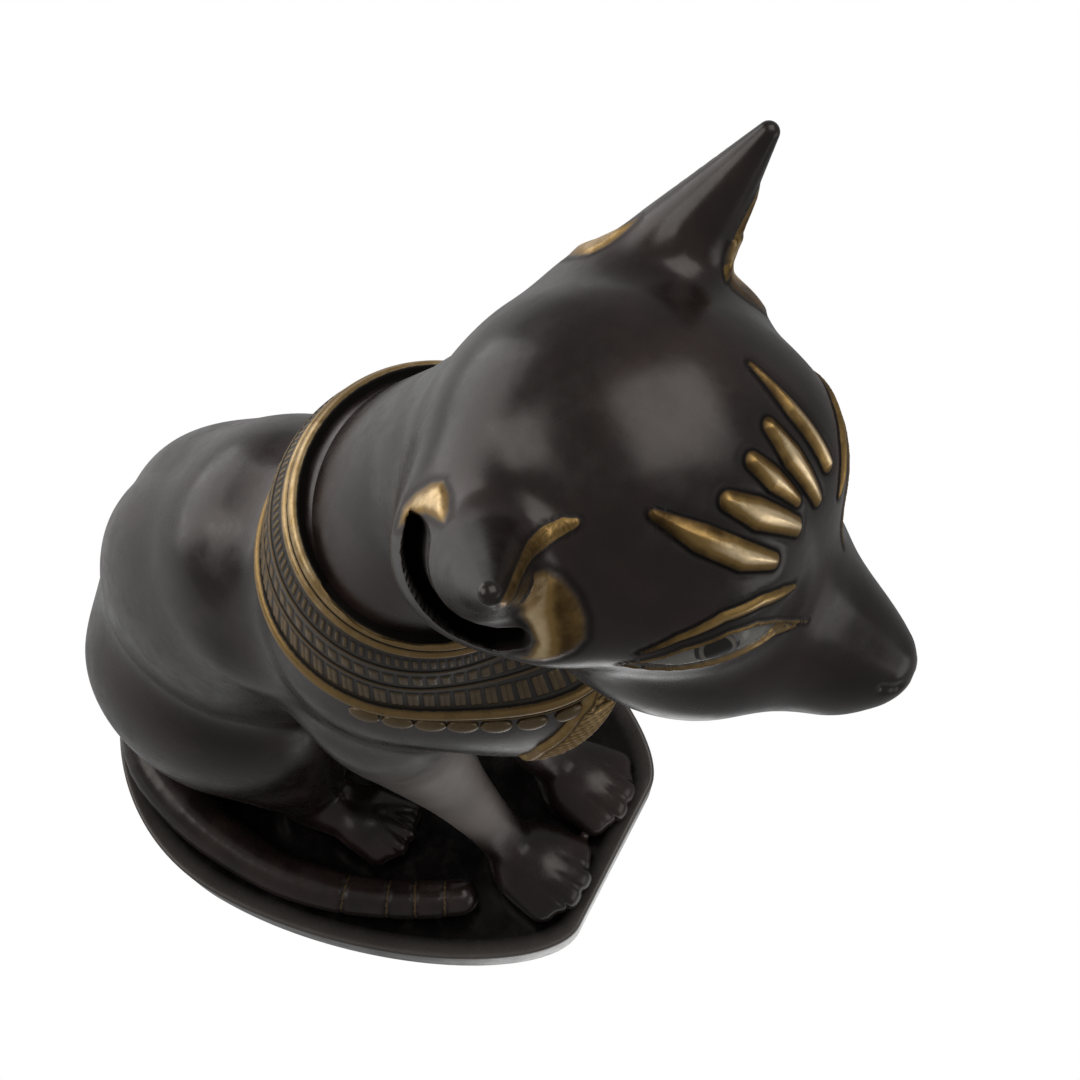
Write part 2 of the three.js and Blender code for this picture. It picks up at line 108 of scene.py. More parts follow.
def smooth_step(low: float, high: float, value: Array) -> Array:
    """Runs smoothly from 0 at low to 1 at high.

    Args:
        low: Where the step starts.
        high: Where the step ends.
        value: What is compared with them.

    Returns:
        The share of the step that is done.
    """
    share = np.clip((value - low) / (high - low), 0.0, 1.0)
    return share * share * (3.0 - 2.0 * share)


def bell(value: Array, width: float) -> Array:
    """Gives a bell of height 1 round zero.

    Args:
        value: Distance from the bell's middle.
        width: Distance at which it has fallen to a third.

    Returns:
        The bell's height.
    """
    return np.exp(-np.square(value / width))


@dataclass(frozen=True)
class Ball:
    """A round form with half-sizes along the frame's axes."""

    centre: Spot
    size: Spot

    def __call__(self, points: Array) -> Array:
        """Measures how far points are from the surface.

        Args:
            points: Places in millimetres.

        Returns:
            The distances, negative inside.
        """
        local = (points - at(*self.centre)) / np.array(self.size)
        reach = np.linalg.norm(local, axis=1)
        slope = np.linalg.norm(local / np.array(self.size), axis=1)
        return reach * (reach - 1.0) / np.maximum(slope, TINY)

    def lumps(self) -> list[tuple[Array, Array]]:
        """Gives the centres and half-sizes of the balls that rough it out."""
        return [(at(*self.centre), np.array(self.size, float))]


@dataclass(frozen=True)
class Limb:
    """A form that tapers between two round ends."""

    start: Spot
    end: Spot
    start_radius: float
    end_radius: float
    wide: float = 1.0

    def __call__(self, points: Array) -> Array:
        """Measures how far points are from the surface.

        Args:
            points: Places in millimetres.

        Returns:
            The distances, negative inside.
        """
        stretch = np.array([self.wide, 1.0, 1.0])
        base = at(*self.start)
        run = (at(*self.end) - base) / stretch
        offset = (points - base) / stretch
        taper = self.start_radius - self.end_radius
        length2 = float(run @ run)
        slant = length2 - taper * taper
        along = offset @ run
        past = along - length2
        across = np.square(offset * length2 - run * along[:, None]).sum(axis=1)
        along2 = np.square(along) * length2
        past2 = np.square(past) * length2
        side = math.copysign(1.0, taper) * taper * taper * across
        end_cap = np.sqrt(across + past2) / length2 - self.end_radius
        start_cap = np.sqrt(across + along2) / length2 - self.start_radius
        flank = (np.sqrt(across * slant / length2) + along * taper) / length2 - self.start_radius
        distance = np.where(np.sign(along) * slant * along2 < side, start_cap, flank)
        return np.where(np.sign(past) * slant * past2 > side, end_cap, distance)

    def lumps(self) -> list[tuple[Array, Array]]:
        """Gives the balls that rough it out.

        Returns:
            Their centres and half-sizes.
        """
        first, last = at(*self.start), at(*self.end)
        span = float(np.linalg.norm(last - first))
        most = 14
        count = 2 + int(span / (0.4 * max(self.end_radius, 1.0)))
        stretch = np.array([self.wide, 1.0, 1.0])
        made = []
        for share in np.linspace(0.0, 1.0, min(count, most)):
            radius = self.start_radius + share * (self.end_radius - self.start_radius)
            made.append((first + share * (last - first), radius * stretch))
        return made


@dataclass(frozen=True)
class Blend:
    """Forms that run into each other with a fillet, in millimetres."""

    fillet: float
    parts: tuple

    def __call__(self, points: Array) -> Array:
        """Measures how far points are from the surface.

        Args:
            points: Places in millimetres.

        Returns:
            The distances, negative inside.
        """
        near = self.parts[0](points)
        for part in self.parts[1:]:
            far = part(points)
            overlap = np.maximum(self.fillet - np.abs(near - far), 0.0) / self.fillet
            near = np.minimum(near, far) - overlap * overlap * self.fillet * 0.25
        return near

    def lumps(self) -> list[tuple[Array, Array]]:
        """Gives the balls that rough out all of its parts."""
        return [lump for part in self.parts for lump in part.lumps()]


@dataclass(frozen=True)
class BothSides:
    """A form on the cat's left side and its mirror image on the right."""

    part: Ball | Limb | Blend

    def __call__(self, points: Array) -> Array:
        """Gives each point's distance to the surface, negative inside."""
        return self.part(mirrored(points))

    def lumps(self) -> list[tuple[Array, Array]]:
        """Gives the balls that rough out both sides.

        Returns:
            Their centres and half-sizes.
        """
        flip = np.array([-1.0, 1.0, 1.0])
        made = []
        for centre, size in self.part.lumps():
            made.append((centre, size))
            made.append((centre * flip, size))
        return made


def chain(route: Sequence[Spot], radii: Sequence[float], links: int = 4, fillet: float = 0.05) -> Blend:
    """Runs a smooth limb through some places.

    Args:
        route: The places on the cat.
        radii: The limb's radius at each.
        links: How many straight links each stretch has.
        fillet: How softly they run into each other.

    Returns:
        The limb.
    """
    spots = np.array([(*spot, radius) for spot, radius in zip(route, radii)], float)
    ends = np.vstack([2 * spots[0] - spots[1], spots, 2 * spots[-1] - spots[-2]])
    curve = []
    for index in range(len(spots) - 1):
        before, first, last, after = ends[index : index + 4]
        for share in np.arange(0.0, 1.0, 1.0 / links):
            bend = 2 * before - 5 * first + 4 * last - after
            turn = 3 * first - before - 3 * last + after
            curve.append(0.5 * (2 * first + (last - before) * share + bend * share**2 + turn * share**3))
    curve.append(spots[-1])
    made = []
    for first, last in zip(curve[:-1], curve[1:]):
        made.append(Limb(tuple(first[:3]), tuple(last[:3]), float(first[3]), float(last[3])))
    return Blend(fillet, tuple(made))


def slope_of(form: Form, points: Array, probe: float = 0.04) -> tuple[Array, Array]:
    """Measures a form's distance and slope at points.

    Args:
        form: The form.
        points: Places in millimetres.
        probe: How far apart it is measured.

    Returns:
        The distances, and the slopes.
    """
    here = form(points)
    slope = np.empty_like(points)
    for axis in range(3):
        moved = points.copy()
        moved[:, axis] += probe
        slope[:, axis] = (form(moved) - here) / probe
    return here, slope


def settle(form: Form, points: Array, rounds: int = 4, reach: float = 1.6) -> Array:
    """Slides points onto a form's surface.

    Args:
        form: The form.
        points: Places in millimetres.
        rounds: How many steps they take.
        reach: The longest step.

    Returns:
        The new places.
    """
    gentlest = 0.25
    for _ in range(rounds):
        here, slope = slope_of(form, points)
        steep = np.maximum(np.square(slope).sum(axis=1), gentlest)
        move = -slope * (here / steep)[:, None]
        length = np.linalg.norm(move, axis=1)
        points = points + move * np.minimum(1.0, reach / np.maximum(length, TINY))[:, None]
    return points


def outward(form: Form, points: Array) -> Array:
    """Gives the way out of a form at points on it.

    Args:
        form: The form.
        points: Places in millimetres.

    Returns:
        Directions of length 1.
    """
    slope = slope_of(form, points, probe=0.1)[1]
    return slope / np.maximum(np.linalg.norm(slope, axis=1), TINY)[:, None]


def strand(points: Array, route: Sequence[Spot], radii: Sequence[float]) -> Array:
    """Measures how far points are from a strand that runs through some places.

    Args:
        points: Places in millimetres.
        route: The strand's places on the cat.
        radii: The strand's half-width at each place.

    Returns:
        The distances to the strand's edge, negative inside.
    """
    made = None
    for index in range(len(route) - 1):
        link = Limb(route[index], route[index + 1], radii[index], radii[index + 1])
        distance = link(points)
        made = distance if made is None else np.minimum(made, distance)
    return made


def lay_on(form: Form, route: Sequence[Spot], steps: int = FINER) -> list[Spot]:
    """Lays a route on a form's surface.

    Args:
        form: The form.
        route: Places on the cat, near the surface.
        steps: How many places each stretch is cut into.

    Returns:
        More places on the cat, on the surface.
    """
    spots = np.array([at(*spot) for spot in route])
    fine = np.column_stack([spread(spots[:, axis], steps) for axis in range(3)])
    laid = settle(form, fine, rounds=6)
    return [spot_of(place) for place in laid]


def spread(values: Sequence[float], steps: int = FINER) -> list[float]:
    """Cuts a run of values into finer steps.

    Args:
        values: The values.
        steps: How many steps each stretch is cut into.

    Returns:
        The finer run.
    """
    shares = np.linspace(0, len(values) - 1, (len(values) - 1) * steps + 1)
    return list(np.interp(shares, np.arange(len(values)), values))


def within(points: Array, zones: Iterable[Form]) -> Array:
    """Says which places are inside any of some forms."""
    return np.any([zone(points) < 0 for zone in zones], axis=0)


@dataclass(frozen=True)
class Stroke:
    """A stroke on the cat: the places it runs through and its half-width at each."""

    route: Route
    widths: Widths

    def laid(self, form: Form, points: Array) -> Array:
        """Gives how deep places are inside the stroke once it lies on a form."""
        return -strand(points, lay_on(form, self.route), spread(self.widths))

    def near(self, points: Array, margin: float) -> Array:
        """Says which places are within a distance of the stroke's middle."""
        return strand(points, self.route, (margin,) * len(self.route)) < 0


@dataclass(frozen=True)
class Outline:
    """A closed outline drawn on a plane."""

    corners: Corners

    def __call__(self, across: Array, along: Array) -> Array:
        """Measures how deep places are inside the outline.

        Args:
            across: How far across the plane they are.
            along: How far along it they are.

        Returns:
            The depths, negative outside.
        """
        place = np.column_stack([across, along])
        corners = np.array(self.corners, float)
        nearest = np.full(len(place), np.inf)
        inside = np.zeros(len(place), bool)
        for first, last in zip(corners, np.roll(corners, -1, axis=0)):
            run = last - first
            offset = place - first
            share = np.clip(offset @ run / (run @ run), 0.0, 1.0)
            nearest = np.minimum(nearest, np.linalg.norm(offset - share[:, None] * run, axis=1))
            level = (first[1] > along) != (last[1] > along)
            rise = run[1] if run[1] != 0 else TINY
            inside ^= level & (across < run[0] * (along - first[1]) / rise + first[0])
        return np.where(inside, nearest, -nearest)


def only(piece: bpy.types.Object) -> None:
    """Selects one piece and nothing else, and makes it the active one.

    Args:
        piece: The piece.
    """
    bpy.ops.object.select_all(action="DESELECT")
    piece.select_set(True)
    bpy.context.view_layer.objects.active = piece


def join(pieces: Sequence[bpy.types.Object]) -> bpy.types.Object:
    """Joins pieces into one that has its place in its mesh.

    Args:
        pieces: The pieces.

    Returns:
        The joined piece.
    """
    bpy.ops.object.select_all(action="DESELECT")
    for piece in pieces:
        piece.select_set(True)
    bpy.context.view_layer.objects.active = pieces[0]
    bpy.ops.object.join()
    bpy.ops.object.transform_apply(location=True, rotation=True, scale=True)
    return bpy.context.active_object


def read_points(piece: bpy.types.Object) -> Array:
    """Reads a piece's corners.

    Args:
        piece: The piece, at the origin.

    Returns:
        Its corners in millimetres.
    """
    flat = np.empty(len(piece.data.vertices) * 3, np.float32)
    piece.data.vertices.foreach_get("co", flat)
    return flat.reshape(-1, 3).astype(float) / MM


def write_points(piece: bpy.types.Object, points: Array) -> None:
    """Moves a piece's corners.

    Args:
        piece: The piece, at the origin.
        points: The new places in millimetres.
    """
    piece.data.vertices.foreach_set("co", (points * MM).astype(np.float32).ravel())
    piece.data.update()


def flat_grid(columns: int, rows: int) -> tuple[bpy.types.Object, Array, Array]:
    """Adds a flat grid that a relief is then laid out on.

    Args:
        columns: How many faces it has across.
        rows: How many faces it has along.

    Returns:
        The grid, and how far across and along it each corner is, -1 to 1.
    """
    bpy.ops.object.select_all(action="DESELECT")
    bpy.ops.mesh.primitive_grid_add(x_subdivisions=columns, y_subdivisions=rows, size=2.0)
    piece = bpy.context.active_object
    flat = read_points(piece) * MM
    return piece, flat[:, 0], flat[:, 1]


def paint(piece: bpy.types.Object, name: str, values: Array) -> None:
    """Stores a value at each of a piece's corners for its material to read.

    Args:
        piece: The piece.
        name: What the value says.
        values: One number for each corner.
    """
    layer = piece.data.attributes.new(name, "FLOAT", "POINT")
    layer.data.foreach_set("value", values.astype(np.float32))


def modify(piece: bpy.types.Object, kind: str, **settings: object) -> None:
    """Adds a modifier to a piece and applies it.

    Args:
        piece: The piece.
        kind: The modifier's type.
        settings: Its settings.
    """
    only(piece)
    modifier = piece.modifiers.new(kind.lower(), kind)
    for name, value in settings.items():
        setattr(modifier, name, value)
    bpy.ops.object.modifier_apply(modifier=modifier.name)


def edit(piece: bpy.types.Object, chosen: Array | None = None) -> None:
    """Opens a piece in edit mode with some of its faces selected.

    Args:
        piece: The piece.
        chosen: Which faces, or all of them.
    """
    only(piece)
    count = len(piece.data.polygons)
    flags = np.ones(count, bool) if chosen is None else chosen
    bpy.ops.object.mode_set(mode="EDIT")
    bpy.ops.mesh.select_mode(type="FACE")
    bpy.ops.mesh.select_all(action="DESELECT")
    bpy.ops.object.mode_set(mode="OBJECT")
    piece.data.polygons.foreach_set("select", flags)
    bpy.ops.object.mode_set(mode="EDIT")


def done_editing() -> None:
    """Closes edit mode."""
    bpy.ops.object.mode_set(mode="OBJECT")


def finish_piece(piece: bpy.types.Object, name: str, finish: "Finish") -> bpy.types.Object:
    """Names a piece, smooths and paints it, and rides it on the casting.

    Args:
        piece: The piece.
        name: Its name.
        finish: Its finish.

    Returns:
        The piece.
    """
    piece.name = piece.data.name = name
    only(piece)
    bpy.ops.object.shade_smooth()
    piece.data.materials.clear()
    piece.data.materials.append(finish.material())
    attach(piece, "root")
    LOG.info("%s: %d faces", name, len(piece.data.polygons))
    return piece


@dataclass
class Clay:
    """A lump of clay that is roughed out of balls, remeshed and pressed onto its form."""

    form: Form
    cell: float
    segments: int = 28
    rings: int = 16
    piece: bpy.types.Object | None = None

    def rough_out(self, lumps: Iterable[tuple[Array, Array]]) -> None:
        """Joins balls into one lump.

        Args:
            lumps: The balls' centres and half-sizes.
        """
        balls = []
        for centre, size in lumps:
            bpy.ops.object.select_all(action="DESELECT")
            bpy.ops.mesh.primitive_uv_sphere_add(
                segments=self.segments, ring_count=self.rings, radius=1.0, location=centre * MM
            )
            ball = bpy.context.active_object
            ball.scale = size * MM
            balls.append(ball)
        self.piece = join(balls)

    def remesh(self, cell: float) -> None:
        """Gives the lump an even mesh.

        Args:
            cell: The size of its faces in millimetres.
        """
        modify(self.piece, "REMESH", mode="VOXEL", voxel_size=cell * MM, adaptivity=0.0)

    def press(self, rounds: int = 4) -> None:
        """Presses the lump onto its form.

        Args:
            rounds: How many steps it takes.
        """
        write_points(self.piece, settle(self.form, read_points(self.piece), rounds))

    def relax(self, times: int = 2) -> None:
        """Evens out the lump's faces.

        Args:
            times: How often.
        """
        edit(self.piece)
        bpy.ops.mesh.vertices_smooth(factor=0.5, repeat=times)
        done_editing()

    def trim(self, height: float) -> None:
        """Cuts the lump off flat below a height.

        Args:
            height: Millimetres over the plinth's underside.
        """
        edit(self.piece)
        bpy.ops.mesh.bisect(
            plane_co=(0.0, 0.0, height * MM), plane_no=(0.0, 0.0, 1.0), use_fill=True, clear_inner=True
        )
        done_editing()

    def refine(self, where: Callable[[Array], Array]) -> None:
        """Halves the faces in a part of the lump.

        Args:
            where: Says which places are in that part.
        """
        centres = np.empty(len(self.piece.data.polygons) * 3, np.float32)
        self.piece.data.polygons.foreach_get("center", centres)
        edit(self.piece, where(centres.reshape(-1, 3).astype(float) / MM))
        bpy.ops.mesh.subdivide(number_cuts=1, smoothness=0.0)
        done_editing()

    def shape(self) -> None:
        """Takes the lump from balls to its form with an even mesh."""
        coarse = max(self.cell * 1.6, 0.9)
        self.rough_out(self.form.lumps())
        self.remesh(coarse)
        self.press()
        self.relax()
        self.press()
        self.remesh(self.cell)
        self.press(2)
        self.relax()
        self.press(3)


@dataclass(frozen=True)
class Cloud:
    """A cloudy noise: how fine it is per metre, its finer layers and how strong they are."""

    scale: float
    detail: float
    rough: float


BROAD_CLOUDS = Cloud(70.0, 3.0, 0.6)
LOW_WAVES = Cloud(160.0, 2.0, 0.4)
WORN_PATCHES = Cloud(210.0, 4.0, 0.6)
FINE_GRAIN = Cloud(900.0, 2.0, 0.5)
GOLD_CLOUDS = Cloud(420.0, 3.0, 0.6)
GOLD_STREAKS = Cloud(1100.0, 3.0, 0.6)
RAGGED_EDGE = Cloud(1500.0, 2.0, 0.6)


@dataclass
class Shader:
    """A small hand for laying out shader nodes in a tree."""

    tree: bpy.types.NodeTree

    def add(self, kind: str, inputs: dict | None = None, **settings: object) -> bpy.types.Node:
        """Adds a node.

        Args:
            kind: The node's type.
            inputs: Values or sockets for its inputs, by name or number.
            settings: Its settings.

        Returns:
            The node.
        """
        node = self.tree.nodes.new(kind)
        for name, value in settings.items():
            setattr(node, name, value)
        for name, value in (inputs or {}).items():
            self.set(node.inputs[name], value)
        return node

    def set(self, socket: bpy.types.NodeSocket, value: object) -> None:
        """Links a socket to its input, or gives the input its value.

        Args:
            socket: The input.
            value: A socket or a plain value.
        """
        if isinstance(value, bpy.types.NodeSocket):
            self.tree.links.new(value, socket)
        else:
            socket.default_value = value

    def math(self, operation: str, first: object, second: object) -> bpy.types.NodeSocket:
        """Adds a node that works on two values.

        Args:
            operation: What is done with them.
            first: The first value.
            second: The second value.

        Returns:
            The result's socket.
        """
        return self.add("ShaderNodeMath", {0: first, 1: second}, operation=operation).outputs[0]

    def ramp(
        self, value: object, low: float, high: float, start: float = 0.0, end: float = 1.0
    ) -> bpy.types.NodeSocket:
        """Maps a value from one range smoothly to another.

        Args:
            value: The value.
            low: Where its range starts.
            high: Where its range ends.
            start: What the start becomes.
            end: What the end becomes.

        Returns:
            The result's socket.
        """
        node = self.add(
            "ShaderNodeMapRange",
            {"Value": value, "From Min": low, "From Max": high, "To Min": start, "To Max": end},
            interpolation_type="SMOOTHSTEP",
        )
        return node.outputs["Result"]

    def mix(self, share: object, first: object, second: object) -> bpy.types.NodeSocket:
        """Mixes two colours.

        Args:
            share: How much of the second.
            first: The first colour.
            second: The second colour.

        Returns:
            The mixed colour's socket.
        """
        # The node has a pair of inputs for each kind of value. The colours are 6 and 7.
        return self.add("ShaderNodeMix", {"Factor": share, 6: first, 7: second}, data_type="RGBA").outputs[2]

    def mix_values(self, share: object, first: object, second: object) -> bpy.types.NodeSocket:
        """Mixes two plain values, as mix does two colours."""
        return self.add("ShaderNodeMix", {"Factor": share, "A": first, "B": second}).outputs[0]

    def own(self, name: str) -> bpy.types.NodeSocket:
        """Reads one of the piece's own values."""
        return self.add("ShaderNodeAttribute", attribute_name=name).outputs["Fac"]

    def noise(self, where: object, cloud: Cloud) -> bpy.types.NodeSocket:
        """Adds a cloudy noise.

        Args:
            where: The places it is read at.
            cloud: Its sizes.

        Returns:
            The noise's socket.
        """
        inputs = {"Vector": where, "Scale": cloud.scale, "Detail": cloud.detail, "Roughness": cloud.rough}
        return self.add("ShaderNodeTexNoise", inputs).outputs["Fac"]


def colour(red: float, green: float, blue: float) -> tuple[float, float, float, float]:
    """Gives a colour from the numbers that a paint chart would, 0 to 255.

    Args:
        red: Its red.
        green: Its green.
        blue: Its blue.

    Returns:
        The same colour as light, with full cover.
    """
    # These are the fixed numbers of the usual curve from a screen's colours to light.
    parts = []
    for part in (red, green, blue):
        share = part / 255.0
        parts.append(share / 12.92 if share <= 0.04045 else ((share + 0.055) / 1.055) ** 2.4)
    return (*parts, 1.0)


def group_of(name: str, inputs: dict, outputs: dict, fill: Callable) -> bpy.types.NodeTree:
    """Builds a shader node group once.

    Args:
        name: Its name.
        inputs: The type and start value of each input.
        outputs: The type of each output.
        fill: Lays out its nodes, given the hand, the inputs and the outputs.

    Returns:
        The group.
    """
    if name in bpy.data.node_groups:
        return bpy.data.node_groups[name]
    tree = bpy.data.node_groups.new(name, "ShaderNodeTree")
    for label, (kind, value) in inputs.items():
        socket = tree.interface.new_socket(name=label, in_out="INPUT", socket_type=kind)
        if value is not None:
            socket.default_value = value
    for label, kind in outputs.items():
        tree.interface.new_socket(name=label, in_out="OUTPUT", socket_type=kind)
    hand = Shader(tree)
    inside = tree.nodes.new("NodeGroupInput")
    outside = tree.nodes.new("NodeGroupOutput")
    fill(hand, inside.outputs, outside.inputs)
    return tree


def fill_resin(hand: Shader, given: object, wanted: object) -> None:
    """Lays out the black resin's colour with its painted sheen, its roughness and its skin.

    Args:
        hand: The hand that lays nodes.
        given: The group's inputs.
        wanted: The group's outputs.
    """
    clouds = hand.noise(given["Place"], BROAD_CLOUDS)
    warm = hand.ramp(clouds, 0.42, 0.66)
    patches = hand.noise(given["Place"], WORN_PATCHES)
    base = hand.mix(warm, given["Dark"], given["Warm"])
    worn = hand.math("MULTIPLY", hand.ramp(patches, 0.5, 0.75), 0.35)
    # Painted highlight: where the piece asks for it, the colour turns in patches towards a satin grey.
    patchy_sheen = hand.math("MULTIPLY", given["Painted Sheen"], hand.ramp(clouds, 0.2, 0.7, 0.75, 1.0))
    tint = hand.mix(worn, base, given["Rubbed"])
    hand.set(wanted["Color"], hand.mix(patchy_sheen, tint, given["Sheen Grey"]))
    fine = hand.noise(given["Place"], FINE_GRAIN)
    broad_sheen = hand.ramp(patches, 0.35, 0.7, -0.04, 0.06)
    sheen = hand.math("ADD", broad_sheen, hand.ramp(fine, 0.3, 0.7, -0.02, 0.02))
    dull = hand.math("ADD", given["Roughness"], hand.math("MULTIPLY", given["Painted Sheen"], 0.16))
    hand.set(wanted["Roughness"], hand.math("ADD", dull, sheen))
    waves = hand.noise(given["Place"], LOW_WAVES)
    skin = hand.math("MULTIPLY", fine, 0.08)
    hand.set(wanted["Height"], hand.math("ADD", waves, skin))


def resin_group() -> bpy.types.NodeTree:
    """Gives the group for black resin's skin, built once.

    Returns:
        The group.
    """
    inputs = {
        "Place": ("NodeSocketVector", None),
        "Dark": ("NodeSocketColor", colour(16, 14, 13)),
        "Warm": ("NodeSocketColor", colour(33, 25, 24)),
        "Rubbed": ("NodeSocketColor", colour(34, 31, 29)),
        # The satin grey of the painted highlight.
        "Sheen Grey": ("NodeSocketColor", colour(112, 105, 101)),
        "Painted Sheen": ("NodeSocketFloat", 0.0),
        "Roughness": ("NodeSocketFloat", 0.3),
    }
    outputs = {"Color": "NodeSocketColor", "Roughness": "NodeSocketFloat", "Height": "NodeSocketFloat"}
    return group_of("resin skin", inputs, outputs, fill_resin)


def fill_gold(hand: Shader, given: object, wanted: object) -> None:
    """Lays out antique gold paint: its cover, its colour and its roughness.

    Args:
        hand: The hand that lays nodes.
        given: The group's inputs.
        wanted: The group's outputs.
    """
    ragged = hand.math("SUBTRACT", hand.noise(given["Place"], RAGGED_EDGE), 0.5)
    depth = hand.math("ADD", given["Inside"], hand.math("MULTIPLY", ragged, 0.16))
    cover = hand.ramp(depth, -0.03, 0.05)
    hand.set(wanted["Cover"], hand.math("MULTIPLY", cover, given["Strength"]))
    cloudy = hand.math("SUBTRACT", hand.noise(given["Place"], GOLD_CLOUDS), 0.5)
    tone = hand.math("ADD", given["Tone"], hand.math("MULTIPLY", cloudy, 0.5))
    rich = hand.mix(hand.ramp(tone, 0.5, 1.0), given["Deep"], given["Bright"])
    hand.set(wanted["Color"], hand.mix(hand.ramp(tone, 0.0, 0.5), given["Brown"], rich))
    streaks = hand.noise(given["Place"], GOLD_STREAKS)
    hand.set(wanted["Roughness"], hand.ramp(streaks, 0.3, 0.7, 0.26, 0.44))


def gold_group() -> bpy.types.NodeTree:
    """Gives the group for antique gold paint, built once.

    Returns:
        The group.
    """
    inputs = {
        "Place": ("NodeSocketVector", None),
        "Inside": ("NodeSocketFloat", OUTSIDE),
        "Strength": ("NodeSocketFloat", 1.0),
        "Tone": ("NodeSocketFloat", 0.5),
        "Bright": ("NodeSocketColor", colour(224, 200, 160)),
        "Deep": ("NodeSocketColor", colour(140, 113, 68)),
        "Brown": ("NodeSocketColor", colour(64, 47, 26)),
    }
    outputs = {"Cover": "NodeSocketFloat", "Color": "NodeSocketColor", "Roughness": "NodeSocketFloat"}
    return group_of("antique gold", inputs, outputs, fill_gold)


@dataclass(frozen=True)
class Finish:
    """Black cast resin with antique gold where the piece's own values say so."""

    name: str
    roughness: float = 0.27
    bend: float = 1.42
    wave: float = 0.05
    dark: tuple = colour(19, 14, 12)
    warm: tuple = colour(35, 25, 23)
    shine: tuple = (1.0, 0.93, 0.89, 1.0)
    # Near-black for the dark lines and for painted shade.
    ink_and_shade: tuple = colour(8, 6, 5)
    eyeball: tuple = colour(106, 104, 99)
    iris_rim: tuple = colour(34, 32, 31)
    iris: tuple = colour(92, 88, 82)
    pupil: tuple = colour(14, 13, 13)
    eyes: bool = False

    def material(self) -> bpy.types.Material:
        """Gives the finish's material, built once.

        Returns:
            The material.
        """
        if self.name in bpy.data.materials:
            return bpy.data.materials[self.name]
        material = bpy.data.materials.new(self.name)
        material.use_nodes = True
        tree = material.node_tree
        tree.nodes.clear()
        hand = Shader(tree)
        place = hand.add("ShaderNodeTexCoord").outputs["Object"]
        resin = hand.add("ShaderNodeGroup", node_tree=resin_group())
        hand.set(resin.inputs["Place"], place)
        hand.set(resin.inputs["Dark"], self.dark)
        hand.set(resin.inputs["Warm"], self.warm)
        hand.set(resin.inputs["Roughness"], self.roughness)
        # The piece's value for the painted satin-grey highlight.
        hand.set(resin.inputs["Painted Sheen"], hand.own("painted_sheen"))
        tint, rough = resin.outputs["Color"], resin.outputs["Roughness"]
        if self.eyes:
            tint, rough = self.lay_eyes(hand, tint, rough)
        tint, rough, metal = self.lay_gold(hand, place, tint, rough)
        shader = hand.add("ShaderNodeBsdfPrincipled")
        shader.inputs["IOR"].default_value = self.bend
        shader.inputs["Specular Tint"].default_value = self.shine
        hand.set(shader.inputs["Base Color"], tint)
        hand.set(shader.inputs["Roughness"], rough)
        hand.set(shader.inputs["Metallic"], metal)
        bump = hand.add("ShaderNodeBump", {"Strength": 1.0, "Distance": self.wave * MM})
        hand.set(bump.inputs["Height"], resin.outputs["Height"])
        hand.set(shader.inputs["Normal"], bump.outputs["Normal"])
        out = hand.add("ShaderNodeOutputMaterial")
        hand.set(out.inputs["Surface"], shader.outputs["BSDF"])
        return material

    def lay_gold(self, hand: Shader, place: object, tint: object, rough: object) -> tuple:
        """Lays gold paint, its dark outlines and painted shade over the resin.

        Args:
            hand: The hand that lays nodes.
            place: The places on the piece.
            tint: The colour under it.
            rough: The roughness under it.

        Returns:
            The colour, the roughness and the metal.
        """
        gold = hand.add("ShaderNodeGroup", node_tree=gold_group())
        hand.set(gold.inputs["Place"], place)
        hand.set(gold.inputs["Inside"], hand.own("gold"))
        hand.set(gold.inputs["Strength"], hand.own("strength"))
        hand.set(gold.inputs["Tone"], hand.own("tone"))
        cover = gold.outputs["Cover"]
        ink_and_shade = hand.own("ink_and_shade")
        tint = hand.mix(cover, tint, gold.outputs["Color"])
        tint = hand.mix(ink_and_shade, tint, self.ink_and_shade)
        rough = hand.mix_values(cover, rough, gold.outputs["Roughness"])
        rough = hand.mix_values(ink_and_shade, rough, 0.8)
        metal = hand.math("MULTIPLY", hand.math("MAXIMUM", cover, ink_and_shade), 0.92)
        return tint, rough, metal

    def lay_eyes(self, hand: Shader, tint: object, rough: object) -> tuple:
        """Lays the grey of the eyes and their dark irises over the resin.

        Args:
            hand: The hand that lays nodes.
            tint: The colour under it.
            rough: The roughness under it.

        Returns:
            The colour and the roughness.
        """
        white = hand.ramp(hand.own("eyeball"), -0.05, 0.08)
        iris = hand.ramp(hand.own("iris"), -0.06, 0.08)
        inner = hand.ramp(hand.own("iris"), 0.3, 0.55)
        pupil = hand.ramp(hand.own("pupil"), -0.05, 0.08)
        tint = hand.mix(white, tint, self.eyeball)
        ring = hand.mix(inner, self.iris_rim, self.iris)
        tint = hand.mix(hand.math("MULTIPLY", iris, white), tint, ring)
        tint = hand.mix(hand.math("MULTIPLY", pupil, white), tint, self.pupil)
        return tint, hand.mix_values(white, rough, 0.2)


HEAD_FINISH = Finish("black resin head", eyes=True)
BODY_FINISH = Finish("black resin body")
COLLAR_FINISH = Finish("black resin collar", dark=colour(36, 33, 28), warm=colour(50, 44, 37))
PLINTH_FINISH = Finish("black resin plinth", roughness=0.22, dark=colour(6, 5, 5), warm=colour(12, 9, 9))


